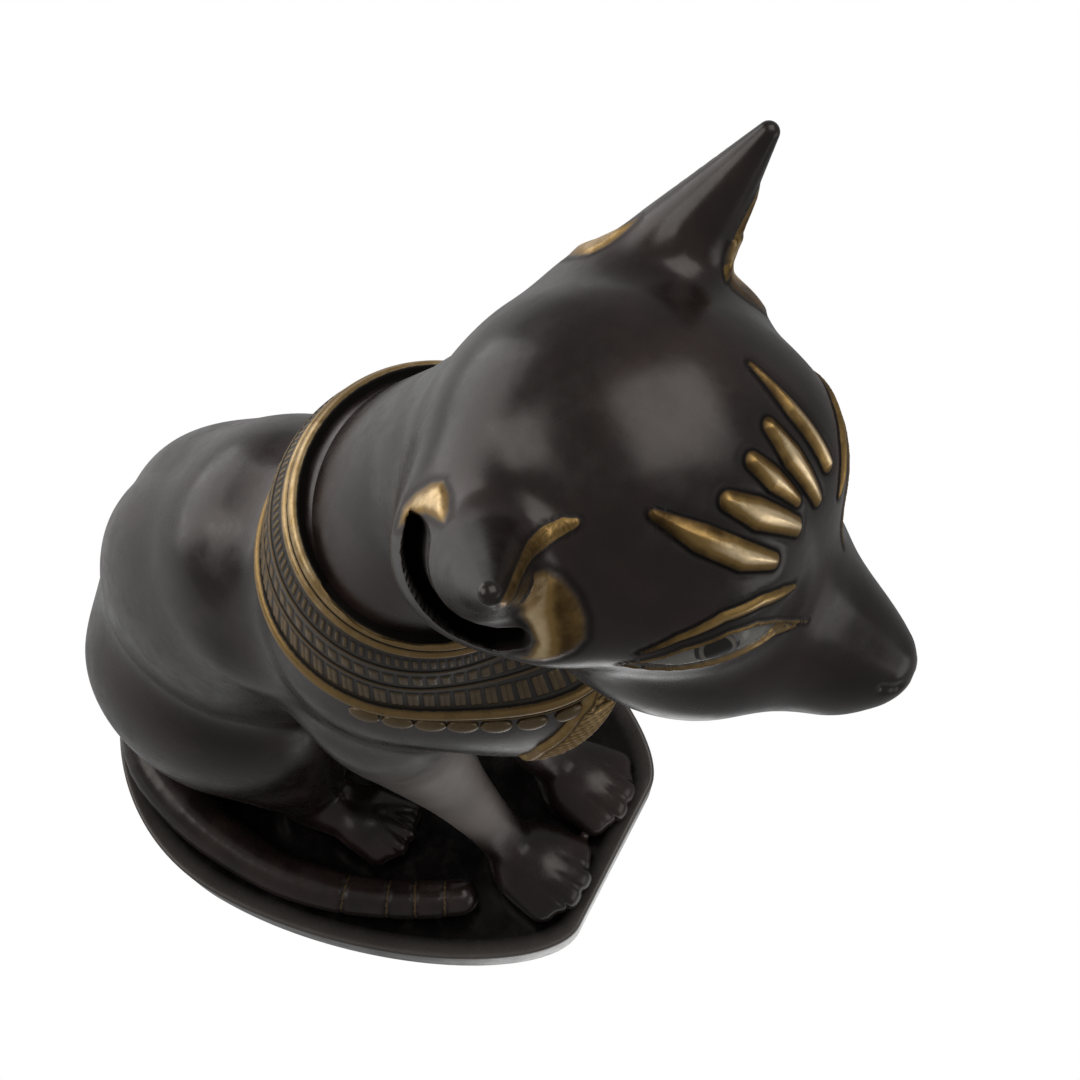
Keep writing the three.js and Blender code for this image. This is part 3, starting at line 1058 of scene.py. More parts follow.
@dataclass
class Paint:
    """What a piece's corners tell its material: the depth in the gold, the dark lines and painted shade, the
    cover and the tone.
    """

    gold: Array
    ink_and_shade: Array
    strength: Array
    tone: Array

    @classmethod
    def bare(cls, count: int) -> "Paint":
        """Gives bare black resin.

        Args:
            count: How many corners the piece has.

        Returns:
            The paint, with no gold in it yet.
        """
        return cls(np.full(count, OUTSIDE), np.zeros(count), np.ones(count), np.full(count, 0.5))

    def brush(self, inside: Array, tone: Array | float, strength: Array | float = 1.0) -> None:
        """Adds a stroke of gold.

        Args:
            inside: How deep each corner is inside the stroke.
            tone: How bright it is, 0 to 1.
            strength: How well it covers.
        """
        newer = inside > self.gold
        self.tone = np.where(newer, tone, self.tone)
        self.strength = np.where(newer, strength, self.strength)
        self.gold = np.maximum(self.gold, inside)

    def line(self, distance: Array, width: float, depth: float) -> None:
        """Adds a dark line.

        Args:
            distance: Each corner's distance from it.
            width: Its half-width.
            depth: How dark it is.
        """
        self.ink_and_shade = np.maximum(self.ink_and_shade, depth * bell(distance, width))

    def store(self, piece: bpy.types.Object) -> None:
        """Stores the paint on a piece.

        Args:
            piece: The piece.
        """
        paint(piece, "gold", np.clip(self.gold, OUTSIDE, -OUTSIDE))
        paint(piece, "ink_and_shade", np.clip(self.ink_and_shade, 0.0, 1.0))
        paint(piece, "strength", self.strength)
        paint(piece, "tone", self.tone)


@dataclass
class Head:
    """The head and neck, with the ears, the eyes and the forehead's leaf strokes."""

    cell: float = 0.7
    cut: float = 116.0
    skull: Ball = Ball((0, 48.5, 161.9), (20, 19.7, 16.8))
    muzzle: Limb = Limb((0, 65.2, 148.1), (0, 78.4, 147), 11.1, 4.2)
    chin: Limb = Limb((0, 50.5, 140.5), (0, 74.5, 143), 9, 5.6)
    cheek: Ball = Ball((9.6, 56.1, 146.6), (6.5, 11.2, 9.1))
    brow_bone: Ball = Ball((7.1, 59.8, 162.7), (7.1, 7.1, 7.1))
    neck: Limb = Limb((0, 20.2, 120.7), (0, 32.8, 146.6), 17, 12.4, 1.15)
    ear_root: Spot = (13.9, 40.9, 162.3)
    ear_tip: Spot = (25.4, 49.0, 183.5)
    ear_root_radius: float = 8.0
    ear_tip_radius: float = 1.05
    ear_mouth: Ball = Ball((16.6, 43.1, 162.0), (5.7, 8.5, 7.2))
    ear_knob: Ball = Ball((17.6, 49.9, 163.9), (4.0, 4.1, 4.6))
    nostril: Limb = Limb((2.2, 81.6, 148.2), (3.4, 80.4, 148.9), 0.3, 0.15)
    cleft: Limb = Limb((0.0, 83.0, 147.2), (0.0, 82.4, 145.4), 0.1, 0.1)
    mouth: Stroke = Stroke(
        ((0.0, 83.2, 145.8), (2.2, 81.6, 145.2), (5.2, 76.5, 145.0), (7.6, 70.5, 146.2)),
        (0.1, 0.15, 0.15, 0.05),
    )
    leaf_height: float = 0.6
    leaves: tuple[Stroke, ...] = (
        Stroke(
            ((-9.7, 55.6, 175.3), (-9.0, 60.0, 173.6), (-7.9, 63.6, 171.7), (-6.1, 66.0, 169.7)),
            (0.45, 1.3, 1.35, 0.8),
        ),
        Stroke(((-5.2, 60.7, 174.7), (-4.2, 63.3, 173.0), (-1.9, 66.4, 169.4)), (0.95, 1.45, 0.95)),
        Stroke(((-0.9, 60.9, 175.0), (-0.7, 63.1, 173.3), (-0.1, 65.5, 170.6)), (0.9, 1.15, 0.65)),
        Stroke(((3.0, 60.8, 174.9), (2.4, 63.4, 172.8), (2.0, 66.9, 168.5)), (0.9, 1.3, 0.75)),
        Stroke(((7.4, 56.8, 175.9), (6.3, 61.5, 173.6), (5.3, 66.3, 169.5)), (0.4, 1.0, 0.95)),
    )
    brow_height: float = 0.4
    brow: Stroke = Stroke(
        (
            (17.4, 58.9, 164.0),
            (15.4, 61.6, 166.6),
            (12.4, 64.5, 168.2),
            (9.2, 66.6, 167.7),
            (6.9, 67.9, 166.3),
            (5.2, 68.5, 165.0),
        ),
        (0.15, 0.4, 0.6, 0.66, 0.6, 0.25),
    )
    upper_lid: Stroke = Stroke(
        (
            (18.1, 57.6, 161.2),
            (17.4, 59.2, 162.3),
            (15.4, 62.3, 165.0),
            (12.5, 65.2, 166.1),
            (10.4, 66.9, 165.5),
            (8.6, 68.2, 163.6),
            (6.0, 69.6, 159.4),
            (4.5, 70.8, 157.7),
        ),
        (0.12, 0.2, 0.24, 0.26, 0.26, 0.26, 0.22, 0.1),
    )
    lower_lid: Stroke = Stroke(
        (
            (18.1, 57.6, 160.8),
            (17.2, 59.2, 160.5),
            (15.9, 62.0, 160.5),
            (14.2, 64.5, 160.9),
            (12.7, 66.0, 161.2),
            (10.8, 67.4, 161.1),
            (8.4, 68.6, 160.7),
            (6.9, 69.3, 159.2),
            (5.6, 70.1, 158.3),
        ),
        (0.12, 0.2, 0.26, 0.3, 0.32, 0.34, 0.34, 0.28, 0.12),
    )
    eye_middle: Spot = (12.0, 65.0, 162.5)
    eye_reach: float = 11.0
    iris: Spot = (13.5, 64.8, 164.1)
    iris_radius: float = 2.15
    pupil_radius: float = 1.35
    slot: Stroke = Stroke(
        (
            (19.4, 37.4, 171.0),
            (21.1, 37.9, 170.2),
            (22.5, 38.8, 169.5),
            (23.4, 40.0, 168.7),
            (24.0, 41.7, 167.6),
            (24.1, 43.5, 166.5),
            (23.8, 45.5, 165.9),
            (23.0, 47.5, 165.5),
            (21.8, 49.0, 165.8),
        ),
        (1.5, 1.75, 1.8, 1.75, 1.65, 1.6, 1.5, 1.4, 1.1),
    )
    slot_depth: float = 5.0
    slot_reach: float = 3.6
    ear_reach: float = 14.0
    far_stripe: float = 4.5
    knob_edge: Outline = Outline(
        (
            *((1.3, 3.3), (0.0, 2.9), (-1.4, 3.2), (-2.0, 4.4), (-1.9, 6.3), (-0.8, 8.4)),
            *((0.7, 10.0), (2.5, 10.9), (4.1, 10.6), (5.4, 9.7), (6.4, 8.7), (7.2, 7.3)),
            *((7.5, 6.2), (6.3, 6.9), (4.8, 6.8), (3.6, 5.6), (2.9, 4.3)),
        )
    )
    patch_edge: Outline = Outline(
        (
            *((1.6, -7.9), (-0.5, -8.3), (-2.3, -7.8), (-3.9, -6.9), (-4.6, -6.0), (-3.9, -5.1)),
            *((-2.8, -4.6), (-1.7, -4.5), (-1.5, -5.3), (-1.3, -6.2), (-0.5, -7.0), (0.7, -7.5)),
        )
    )
    stripe_edge: Outline = Outline(
        (
            *((0.2, 0.9), (-0.9, 1.2), (-2.0, 1.5), (-3.6, 2.1), (-5.0, 2.9), (-6.4, 4.2)),
            *((-7.0, 5.6), (-6.3, 5.7), (-4.9, 4.7), (-3.4, 3.7), (-2.2, 2.7), (-1.3, 2.2)),
            *((-0.2, 2.1), (0.7, 2.0), (1.0, 1.3)),
        )
    )
    stripe_zone: Stroke = Stroke(
        ((25.0, 49.0, 183.0), (18.0, 48.0, 176.3), (12.8, 49.8, 174.8)), (1.2, 1.4, 1.6)
    )
    fine_zones: tuple[Ball, ...] = (
        Ball((11.5, 66, 163), (9, 9, 6)),
        Ball((0, 62, 172.5), (12, 9, 6)),
        Ball((19, 44.5, 167), (9, 12, 9)),
        Ball((0, 80, 148), (6, 5, 6)),
        Ball((25.4, 49.0, 183.5), (4, 4, 5)),
    )
    finest_zones: tuple[Ball, ...] = (
        Ball((13.5, 64.8, 164.1), (4, 4, 3)),
        Ball((25.4, 49.0, 183.5), (2.4, 2.4, 3.0)),
    )

    def face(self) -> Blend:
        """Gives the skull with the muzzle, the cheeks, the chin and the brows."""
        snout = Blend(7, (Blend(8, (self.skull, self.muzzle)), BothSides(self.cheek)))
        return Blend(6, (snout, self.chin, BothSides(self.brow_bone)))

    def ears(self) -> BothSides:
        """Gives the ears' shells, each with a swelling at its root and a knob in front of it."""
        shell = Limb(self.ear_root, self.ear_tip, self.ear_root_radius, self.ear_tip_radius)
        return BothSides(Blend(2.0, (Blend(4, (shell, self.ear_mouth)), self.ear_knob)))

    def ear_axis(self) -> Array:
        """Gives the way from an ear's root to its tip."""
        run = at(*self.ear_tip) - at(*self.ear_root)
        return run / np.linalg.norm(run)

    def whole(self) -> Blend:
        """Gives the head with its neck before the ears are hollowed."""
        return Blend(10, (Blend(5, (self.face(), self.ears())), self.neck))

    def detailed(self, points: Array) -> Array:
        """Says which places carry small carving."""
        return within(mirrored(points), self.fine_zones)

    def finest(self, points: Array) -> Array:
        """Says which places carry the finest carving.

        Args:
            points: Places on the head.

        Returns:
            Yes or no for each place.
        """
        folded = mirrored(points)
        chosen = within(folded, self.finest_zones)
        chosen |= strand(folded, self.stripe_zone.route, self.stripe_zone.widths) < 0
        margins = ((self.brow, 1.8), (self.upper_lid, 1.3), (self.lower_lid, 1.3), (self.slot, 3.2))
        for stroke, margin in margins:
            chosen |= stroke.near(folded, margin)
        for leaf in self.leaves:
            chosen |= strand(points, leaf.route, [width + 0.7 for width in leaf.widths]) < 0
        return chosen

    def build(self) -> bpy.types.Object:
        """Models the head and paints it.

        Returns:
            The piece.
        """
        clay = Clay(self.whole(), self.cell)
        clay.shape()
        clay.refine(self.detailed)
        clay.press(2)
        clay.refine(self.finest)
        clay.press(2)
        points = read_points(clay.piece)
        height, coat, eyes = self.carving(points)
        lift = outward(clay.form, points) * height[:, None]
        write_points(clay.piece, points + lift + self.dig_slots(points, coat))
        coat.store(clay.piece)
        for name, values in eyes.items():
            paint(clay.piece, name, np.clip(values, OUTSIDE, -OUTSIDE))
        clay.trim(self.cut)
        return finish_piece(clay.piece, "head", HEAD_FINISH)

    def carving(self, points: Array) -> tuple[Array, Paint, dict[str, Array]]:
        """Works out the small carving and the paint on the head.

        Args:
            points: Places on the head's form.

        Returns:
            The relief's height, the paint, and the eyes' values.
        """
        form = self.whole()
        folded = mirrored(points)
        ahead = -points[:, 1]
        height = self.nose(points)
        coat = Paint.bare(len(points))
        # Painted highlight: the leaves' gold is brighter along their crests and towards their front ends.
        front = smooth_step(56.0, 66.5, ahead)
        for leaf in self.leaves:
            edge = leaf.laid(form, points)
            height += self.leaf_height * smooth_step(-0.35, 1.35, edge) - 0.1 * bell(edge + 0.35, 0.35)
            crest_highlight = smooth_step(0.2, 1.1, edge)
            coat.line(edge + 0.15, width=0.26, depth=0.85)
            coat.brush(edge, tone=0.1 + 0.18 * front + crest_highlight * (0.22 + 0.65 * front))
        brow = self.brow.laid(form, folded)
        height += self.brow_height * smooth_step(-0.25, 0.7, brow) - 0.08 * bell(brow + 0.25, 0.3)
        coat.line(brow + 0.15, width=0.2, depth=0.8)
        inner = smooth_step(58.0, 66.0, ahead)
        # The brow's gold is brighter towards its front, and along its crest as a painted highlight.
        coat.brush(brow, tone=0.12 + 0.25 * inner + 0.3 * smooth_step(0.2, 0.6, brow))
        eye_height, eyes = self.eye(form, folded, coat)
        height += eye_height
        height += self.ear_paint(points, coat)
        return height, coat, eyes

    def eye(self, form: Form, folded: Array, coat: Paint) -> tuple[Array, dict[str, Array]]:
        """Works out an eye: its lids, its ball, its iris and its gold corner.

        Args:
            form: The head's form.
            folded: Places on the head, folded to the left side.
            coat: The head's paint.

        Returns:
            The relief, and the values of the eyeball, the iris and the pupil.
        """
        outer, inner = at(*self.upper_lid.route[0]), at(*self.lower_lid.route[-1])
        along = (inner - outer) / np.linalg.norm(inner - outer)
        across = np.array([0.0, 0.0, 1.0])
        across = across - along * (across @ along)
        across /= np.linalg.norm(across)
        lids = [at(*spot) - outer for spot in self.upper_lid.route + self.lower_lid.route[::-1]]
        opening = Outline(tuple((float(spot @ along), float(spot @ across)) for spot in lids))
        near = np.linalg.norm(folded - at(*self.eye_middle), axis=1) < self.eye_reach
        run, rise = (folded - outer) @ along, (folded - outer) @ across
        inside = np.where(near, opening(run, rise), OUTSIDE)
        upper = self.upper_lid.laid(form, folded)
        lower = self.lower_lid.laid(form, folded)
        lid = np.maximum(upper, lower)
        height = 0.24 * smooth_step(-0.2, 0.35, lid)
        height -= 0.4 * smooth_step(0.05, 0.45, inside)
        height += 0.6 * smooth_step(0.3, 2.2, inside)
        reach = np.linalg.norm(folded - at(*self.iris), axis=1)
        height -= 0.08 * bell(reach - self.iris_radius, 0.15) * (inside > 0.1)
        ball = inside - 0.12
        coat.line(np.where(near, ball, FAR), width=0.2, depth=0.85)
        coat.line(lid + 0.28, width=0.16, depth=0.6)
        coat.ink_and_shade *= 1.0 - smooth_step(-0.02, 0.1, lid)
        coat.brush(upper, tone=0.3, strength=0.75)
        coat.brush(lower, tone=0.26 + 0.2 * smooth_step(58.0, 66.0, -folded[:, 1]), strength=0.75)
        past = run - 10.2
        corner = np.minimum(np.minimum(inside - 0.3, past), 1.9 - rise + 0.12 * past)
        coat.brush(corner, tone=0.34)
        coat.ink_and_shade *= 1.0 - 0.8 * smooth_step(0.0, 0.1, corner)
        return height, {"eyeball": ball, "iris": self.iris_radius - reach, "pupil": self.pupil_radius - reach}

    def ear_paint(self, points: Array, coat: Paint) -> Array:
        """Works out the gold on an ear: its rear patch, its stripe and its knob.

        Args:
            points: Places on the head.
            coat: The head's paint.

        Returns:
            The relief's height.
        """
        axis = self.ear_axis()
        ahead = np.array([0.0, -1.0, 0.0])
        ahead -= axis * (axis @ ahead)
        ahead /= np.linalg.norm(ahead)
        side = np.cross(ahead, axis)
        side *= math.copysign(1.0, side[0])
        local = mirrored(points) - at(*self.ear_root)
        across, along, up = local @ side, local @ ahead, local @ axis
        around = np.linalg.norm(np.column_stack([across, along]), axis=1)
        near = (around < self.ear_reach) & (up > 2.0)
        knob = np.where(near & (up < 16.0), self.knob_edge(across, along), OUTSIDE)
        patch = np.where(near & (up < 12.5), self.patch_edge(across, along), OUTSIDE)
        turned = across - self.far_stripe * (points[:, 0] > 0)
        stripe = np.where(near & (up > 9.0), self.stripe_edge(turned, along), OUTSIDE)
        coat.line(knob + 0.3, width=0.35, depth=0.5)
        coat.line(patch + 0.25, width=0.3, depth=0.35)
        coat.line(stripe + 0.2, width=0.2, depth=0.6)
        # Painted highlight: the knob's gold is brighter on its lit side.
        light = smooth_step(5.9, 4.0, along * 0.845 - across * 0.535)
        soft = smooth_step(-0.1, 0.9, knob)
        coat.brush(knob, tone=0.16 + 0.66 * light * soft, strength=soft)
        patch_tone = 0.45 + 0.3 * smooth_step(0.1, 0.8, patch)
        coat.brush(patch, tone=patch_tone, strength=smooth_step(-0.1, 0.4, patch))
        coat.brush(stripe, tone=0.34)
        coat.line(stripe - 0.42, width=0.1, depth=0.6)
        raised = 0.3 * smooth_step(-0.1, 0.4, stripe) + 0.25 * smooth_step(-0.1, 0.8, knob)
        return raised + 0.35 * smooth_step(-0.1, 0.8, patch)

    def dig_slots(self, points: Array, coat: Paint) -> Array:
        """Digs the ears' hollows, deep crescents inside their thin lips, and fills them with painted shade.

        Args:
            points: Places on the head's form.
            coat: The head's paint.

        Returns:
            How far each place moves.
        """
        folded = mirrored(points)
        axis = self.ear_axis()
        root = at(*self.ear_root)
        level = folded - np.outer((folded - root) @ axis, axis)
        flat = [spot_of(at(*spot) - axis * ((at(*spot) - root) @ axis)) for spot in self.slot.route]
        edge = -strand(level, flat, self.slot.widths)
        laid = lay_on(self.whole(), self.slot.route, steps=1)
        near = strand(folded, laid, (self.slot_reach,) * len(laid)) < 0
        edge = np.where(near, edge, OUTSIDE)
        dug = -np.outer(self.slot_depth * smooth_step(-0.3, 0.9, edge), axis)
        dug[:, 0] *= np.sign(points[:, 0])
        # Painted shade: the hollows are painted near-black and dull.
        coat.ink_and_shade = np.maximum(coat.ink_and_shade, smooth_step(0.0, 0.4, edge))
        return dug

    def nose(self, points: Array) -> Array:
        """Works out the nostrils, the cleft and the mouth line.

        Args:
            points: Places on the head.

        Returns:
            The relief's height.
        """
        folded = mirrored(points)
        nostril = np.maximum(self.nostril(folded), 0)
        mouth = np.maximum(strand(folded, self.mouth.route, self.mouth.widths), 0)
        cleft = np.maximum(self.cleft(folded), 0)
        carved = 0.32 * bell(nostril, 0.4) + 0.3 * bell(mouth, 0.45)
        return -carved - 0.2 * bell(cleft, 0.3)


@dataclass
class Body:
    """The trunk with its haunches, forelegs and paws."""

    cell: float = 0.95
    fore_toes: Corners = ((3.4, 53.0), (7.9, 55.3), (12.7, 54.9), (17.0, 51.8))
    hind_toes: Corners = ((12.9, 18.0), (16.5, 19.4), (20.2, 19.2), (23.4, 16.6))
    groove: float = 0.5
    foreleg: Route = (
        (12.6, 17.5, 78.0),
        (11.6, 19.0, 62.0),
        (10.2, 22.4, 47.0),
        (9.2, 26.2, 31.0),
        (9.0, 32.0, 16.5),
        (9.8, 38.0, 7.5),
    )
    foreleg_radii: Widths = (9.6, 9.2, 8.0, 6.3, 5.1, 4.8)
    chest: Limb = Limb((0, 22.9, 123.8), (0, 20.7, 103.8), 18.7, 22, 1.08)
    breast: Ball = Ball((0, 35, 99.1), (15.8, 17.3, 23.5))
    shoulder: Ball = Ball((10.8, 17.9, 81.5), (10.7, 13.5, 21.6))
    spine: Limb = Limb((0, -2.5, 87.5), (0, -30, 40.6), 22.4, 23)
    flank: Ball = Ball((3.9, -16.7, 64.1), (17.5, 23.8, 30))
    thigh: Ball = Ball((13.2, -23.3, 32.9), (20.2, 26.5, 32.4))
    knee: Ball = Ball((17.6, -7.5, 17), (9.6, 10.5, 13))
    fore_pad: Ball = Ball((10.0, 44.6, 3.0), (7.7, 9.6, 5.4))
    hind_foot: Limb = Limb((19.5, -4.5, 4.2), (18.4, 10.0, 3.0), 6.2, 4.7, 1.1)
    paw_zones: tuple[Ball, ...] = (Ball((10.2, 47, 4), (11, 13, 9)), Ball((18.3, 12, 4), (10, 13, 8)))

    def torso(self) -> Blend:
        """Gives the chest, the breast, the shoulders, the back and the flanks."""
        front = Blend(8, (self.chest, self.breast, BothSides(self.shoulder)))
        return Blend(8, (front, Blend(10, (self.spine, BothSides(self.flank)))))

    def haunches(self) -> BothSides:
        """Gives the thighs and the knees."""
        return BothSides(Blend(6, (self.thigh, self.knee)))

    def toes(self, tips: Corners, root: Spot, fan: float, size: float) -> Blend:
        """Gives four toes that fan out from a root inside the paw.

        Args:
            tips: Where the toes end, to the side and ahead.
            root: The place they start round.
            fan: How far apart they start, as a share of their tips.
            size: A toe's half-width.

        Returns:
            The toes.
        """
        made = []
        for side, ahead in tips:
            start = (root[0] + fan * (side - root[0]), root[1], root[2])
            made.append(Limb(start, (side, ahead - size, 2.7), size * 1.25, size))
        return Blend(1.9, tuple(made))

    def forelegs(self) -> BothSides:
        """Gives the forelegs down to their paws."""
        leg = chain(self.foreleg, self.foreleg_radii)
        toes = self.toes(self.fore_toes, (10.0, 42.0, 4.2), 0.62, 2.8)
        return BothSides(Blend(3.6, (Blend(5.0, (leg, self.fore_pad)), toes)))

    def hind_feet(self) -> BothSides:
        """Gives the hind feet beside the haunches."""
        toes = self.toes(self.hind_toes, (18.3, 9.0, 4.2), 0.7, 2.55)
        return BothSides(Blend(3.2, (self.hind_foot, toes)))

    def form(self) -> Blend:
        """Gives the whole body."""
        trunk = Blend(3.5, (self.torso(), self.haunches()))
        return Blend(3, (Blend(7, (trunk, self.forelegs())), self.hind_feet()))

    def grooves(self, points: Array) -> Array:
        """Works out the fine grooves between the toes.

        Args:
            points: Places on the body's form.

        Returns:
            The relief's height.
        """
        folded = mirrored(points)
        height = np.zeros(len(points))
        for tips, back in ((self.fore_toes, 7.5), (self.hind_toes, 6.5)):
            for first, last in zip(tips[:-1], tips[1:]):
                side, ahead = (first[0] + last[0]) / 2, (first[1] + last[1]) / 2
                lean = (last[0] + first[0] - tips[0][0] - tips[-1][0]) * 0.12
                front, rear = at(side, ahead, 0.0), at(side - lean, ahead - back, 0.0)
                run = (rear - front)[:2]
                offset = (folded - front)[:, :2]
                share = np.clip(offset @ run / (run @ run), -0.3, 1.0)
                away = np.linalg.norm(offset - share[:, None] * run, axis=1)
                low = smooth_step(18.0 + FLOOR_UP, 14.0 + FLOOR_UP, folded[:, 2])
                height -= self.groove * bell(away, 0.6) * np.clip(1.0 - share, 0.0, 1.0) * low
        return height

    def leg_sheen(self, points: Array) -> Array:
        """Says how strongly a painted highlight lightens the forelegs' outer sides to a satin grey."""
        up, ahead = points[:, 2] - FLOOR_UP, -points[:, 1]
        leg = smooth_step(12.0, 26.0, up) * smooth_step(100.0, 52.0, up) * smooth_step(12.0, 30.0, ahead)
        return leg * smooth_step(2.0, 9.0, np.abs(points[:, 0]))

    def paws(self, points: Array) -> Array:
        """Says which places are on the paws."""
        return within(mirrored(points), self.paw_zones)

    def build(self) -> bpy.types.Object:
        """Models the body and paints it.

        Returns:
            The piece.
        """
        clay = Clay(self.form(), self.cell)
        clay.shape()
        clay.refine(self.paws)
        clay.press(2)
        clay.relax(3)
        clay.press(1)
        clay.relax(2)
        points = read_points(clay.piece)
        lift = outward(clay.form, points) * self.grooves(points)[:, None]
        write_points(clay.piece, points + lift)
        Paint.bare(len(points)).store(clay.piece)
        # A painted highlight in satin grey on the forelegs.
        paint(clay.piece, "painted_sheen", self.leg_sheen(points))
        clay.trim(FLOOR_UP - SUNK)
        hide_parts("cat_figure")
        return finish_piece(clay.piece, "body", BODY_FINISH)


@dataclass
class Tail:
    """The tail, which lies on the plinth along the cat's right side."""

    cell: float = 0.5
    route: Route = (
        (-2, -33, 12.0),
        (-6, -42, 8.0),
        (-12, -46, 5.2),
        (-20.5, -43.6, 4.3),
        (-29.0, -36.5, 3.8),
        (-34.2, -24, 3.4),
        (-36.2, -12, 3.1),
        (-36.2, 0, 3.0),
        (-33.9, 11, 2.9),
        (-30.3, 20.5, 2.9),
        (-26.5, 28, 2.9),
        (-22.9, 33.6, 2.9),
    )
    radii: Widths = (6.2, 6.8, 7.0, 6.8, 6.2, 5.4, 4.7, 4.3, 4.1, 3.9, 3.8, 3.6)
    bands: Corners = ((-36.5, 13.8), (-32.9, 22.3), (-30.2, 27.4), (-27.1, 32.5))

    def form(self) -> Blend:
        """Gives the tail as a chain of short tapering links."""
        return chain(self.route, self.radii)

    def build(self) -> bpy.types.Object:
        """Models the tail and paints its thin gold bands.

        Returns:
            The piece.
        """
        clay = Clay(self.form(), self.cell)
        clay.shape()
        points = read_points(clay.piece)
        coat = Paint.bare(len(points))
        groove = np.zeros(len(points))
        for side, ahead in self.bands:
            across = self.along(points, side, ahead)
            coat.line(across, width=0.6, depth=0.7)
            coat.brush(0.2 - np.abs(across), tone=0.26, strength=0.45)
            groove += bell(across, 0.5)
        coat.ink_and_shade *= coat.gold < -0.05
        points = points - outward(clay.form, points) * (0.25 * groove)[:, None]
        write_points(clay.piece, points)
        coat.store(clay.piece)
        clay.trim(FLOOR_UP - SUNK)
        return finish_piece(clay.piece, "tail", BODY_FINISH)

    def along(self, points: Array, side: float, ahead: float) -> Array:
        """Measures how far places are from a band's plane across the tail.

        Args:
            points: Places on the tail.
            side: Where the band is, to the side.
            ahead: Where the band is, ahead.

        Returns:
            The distances along the tail, or a large one far from the band.
        """
        spots = np.array([at(*spot) for spot in self.route])
        middle = at(side, ahead, 3.0)
        nearest = int(np.argmin(np.linalg.norm(spots - middle, axis=1)))
        nearest = min(max(nearest, 1), len(spots) - 2)
        run = spots[nearest + 1] - spots[nearest - 1]
        run /= np.linalg.norm(run)
        offset = points - middle
        return np.where(np.linalg.norm(offset, axis=1) < 12.0, offset @ run, FAR)


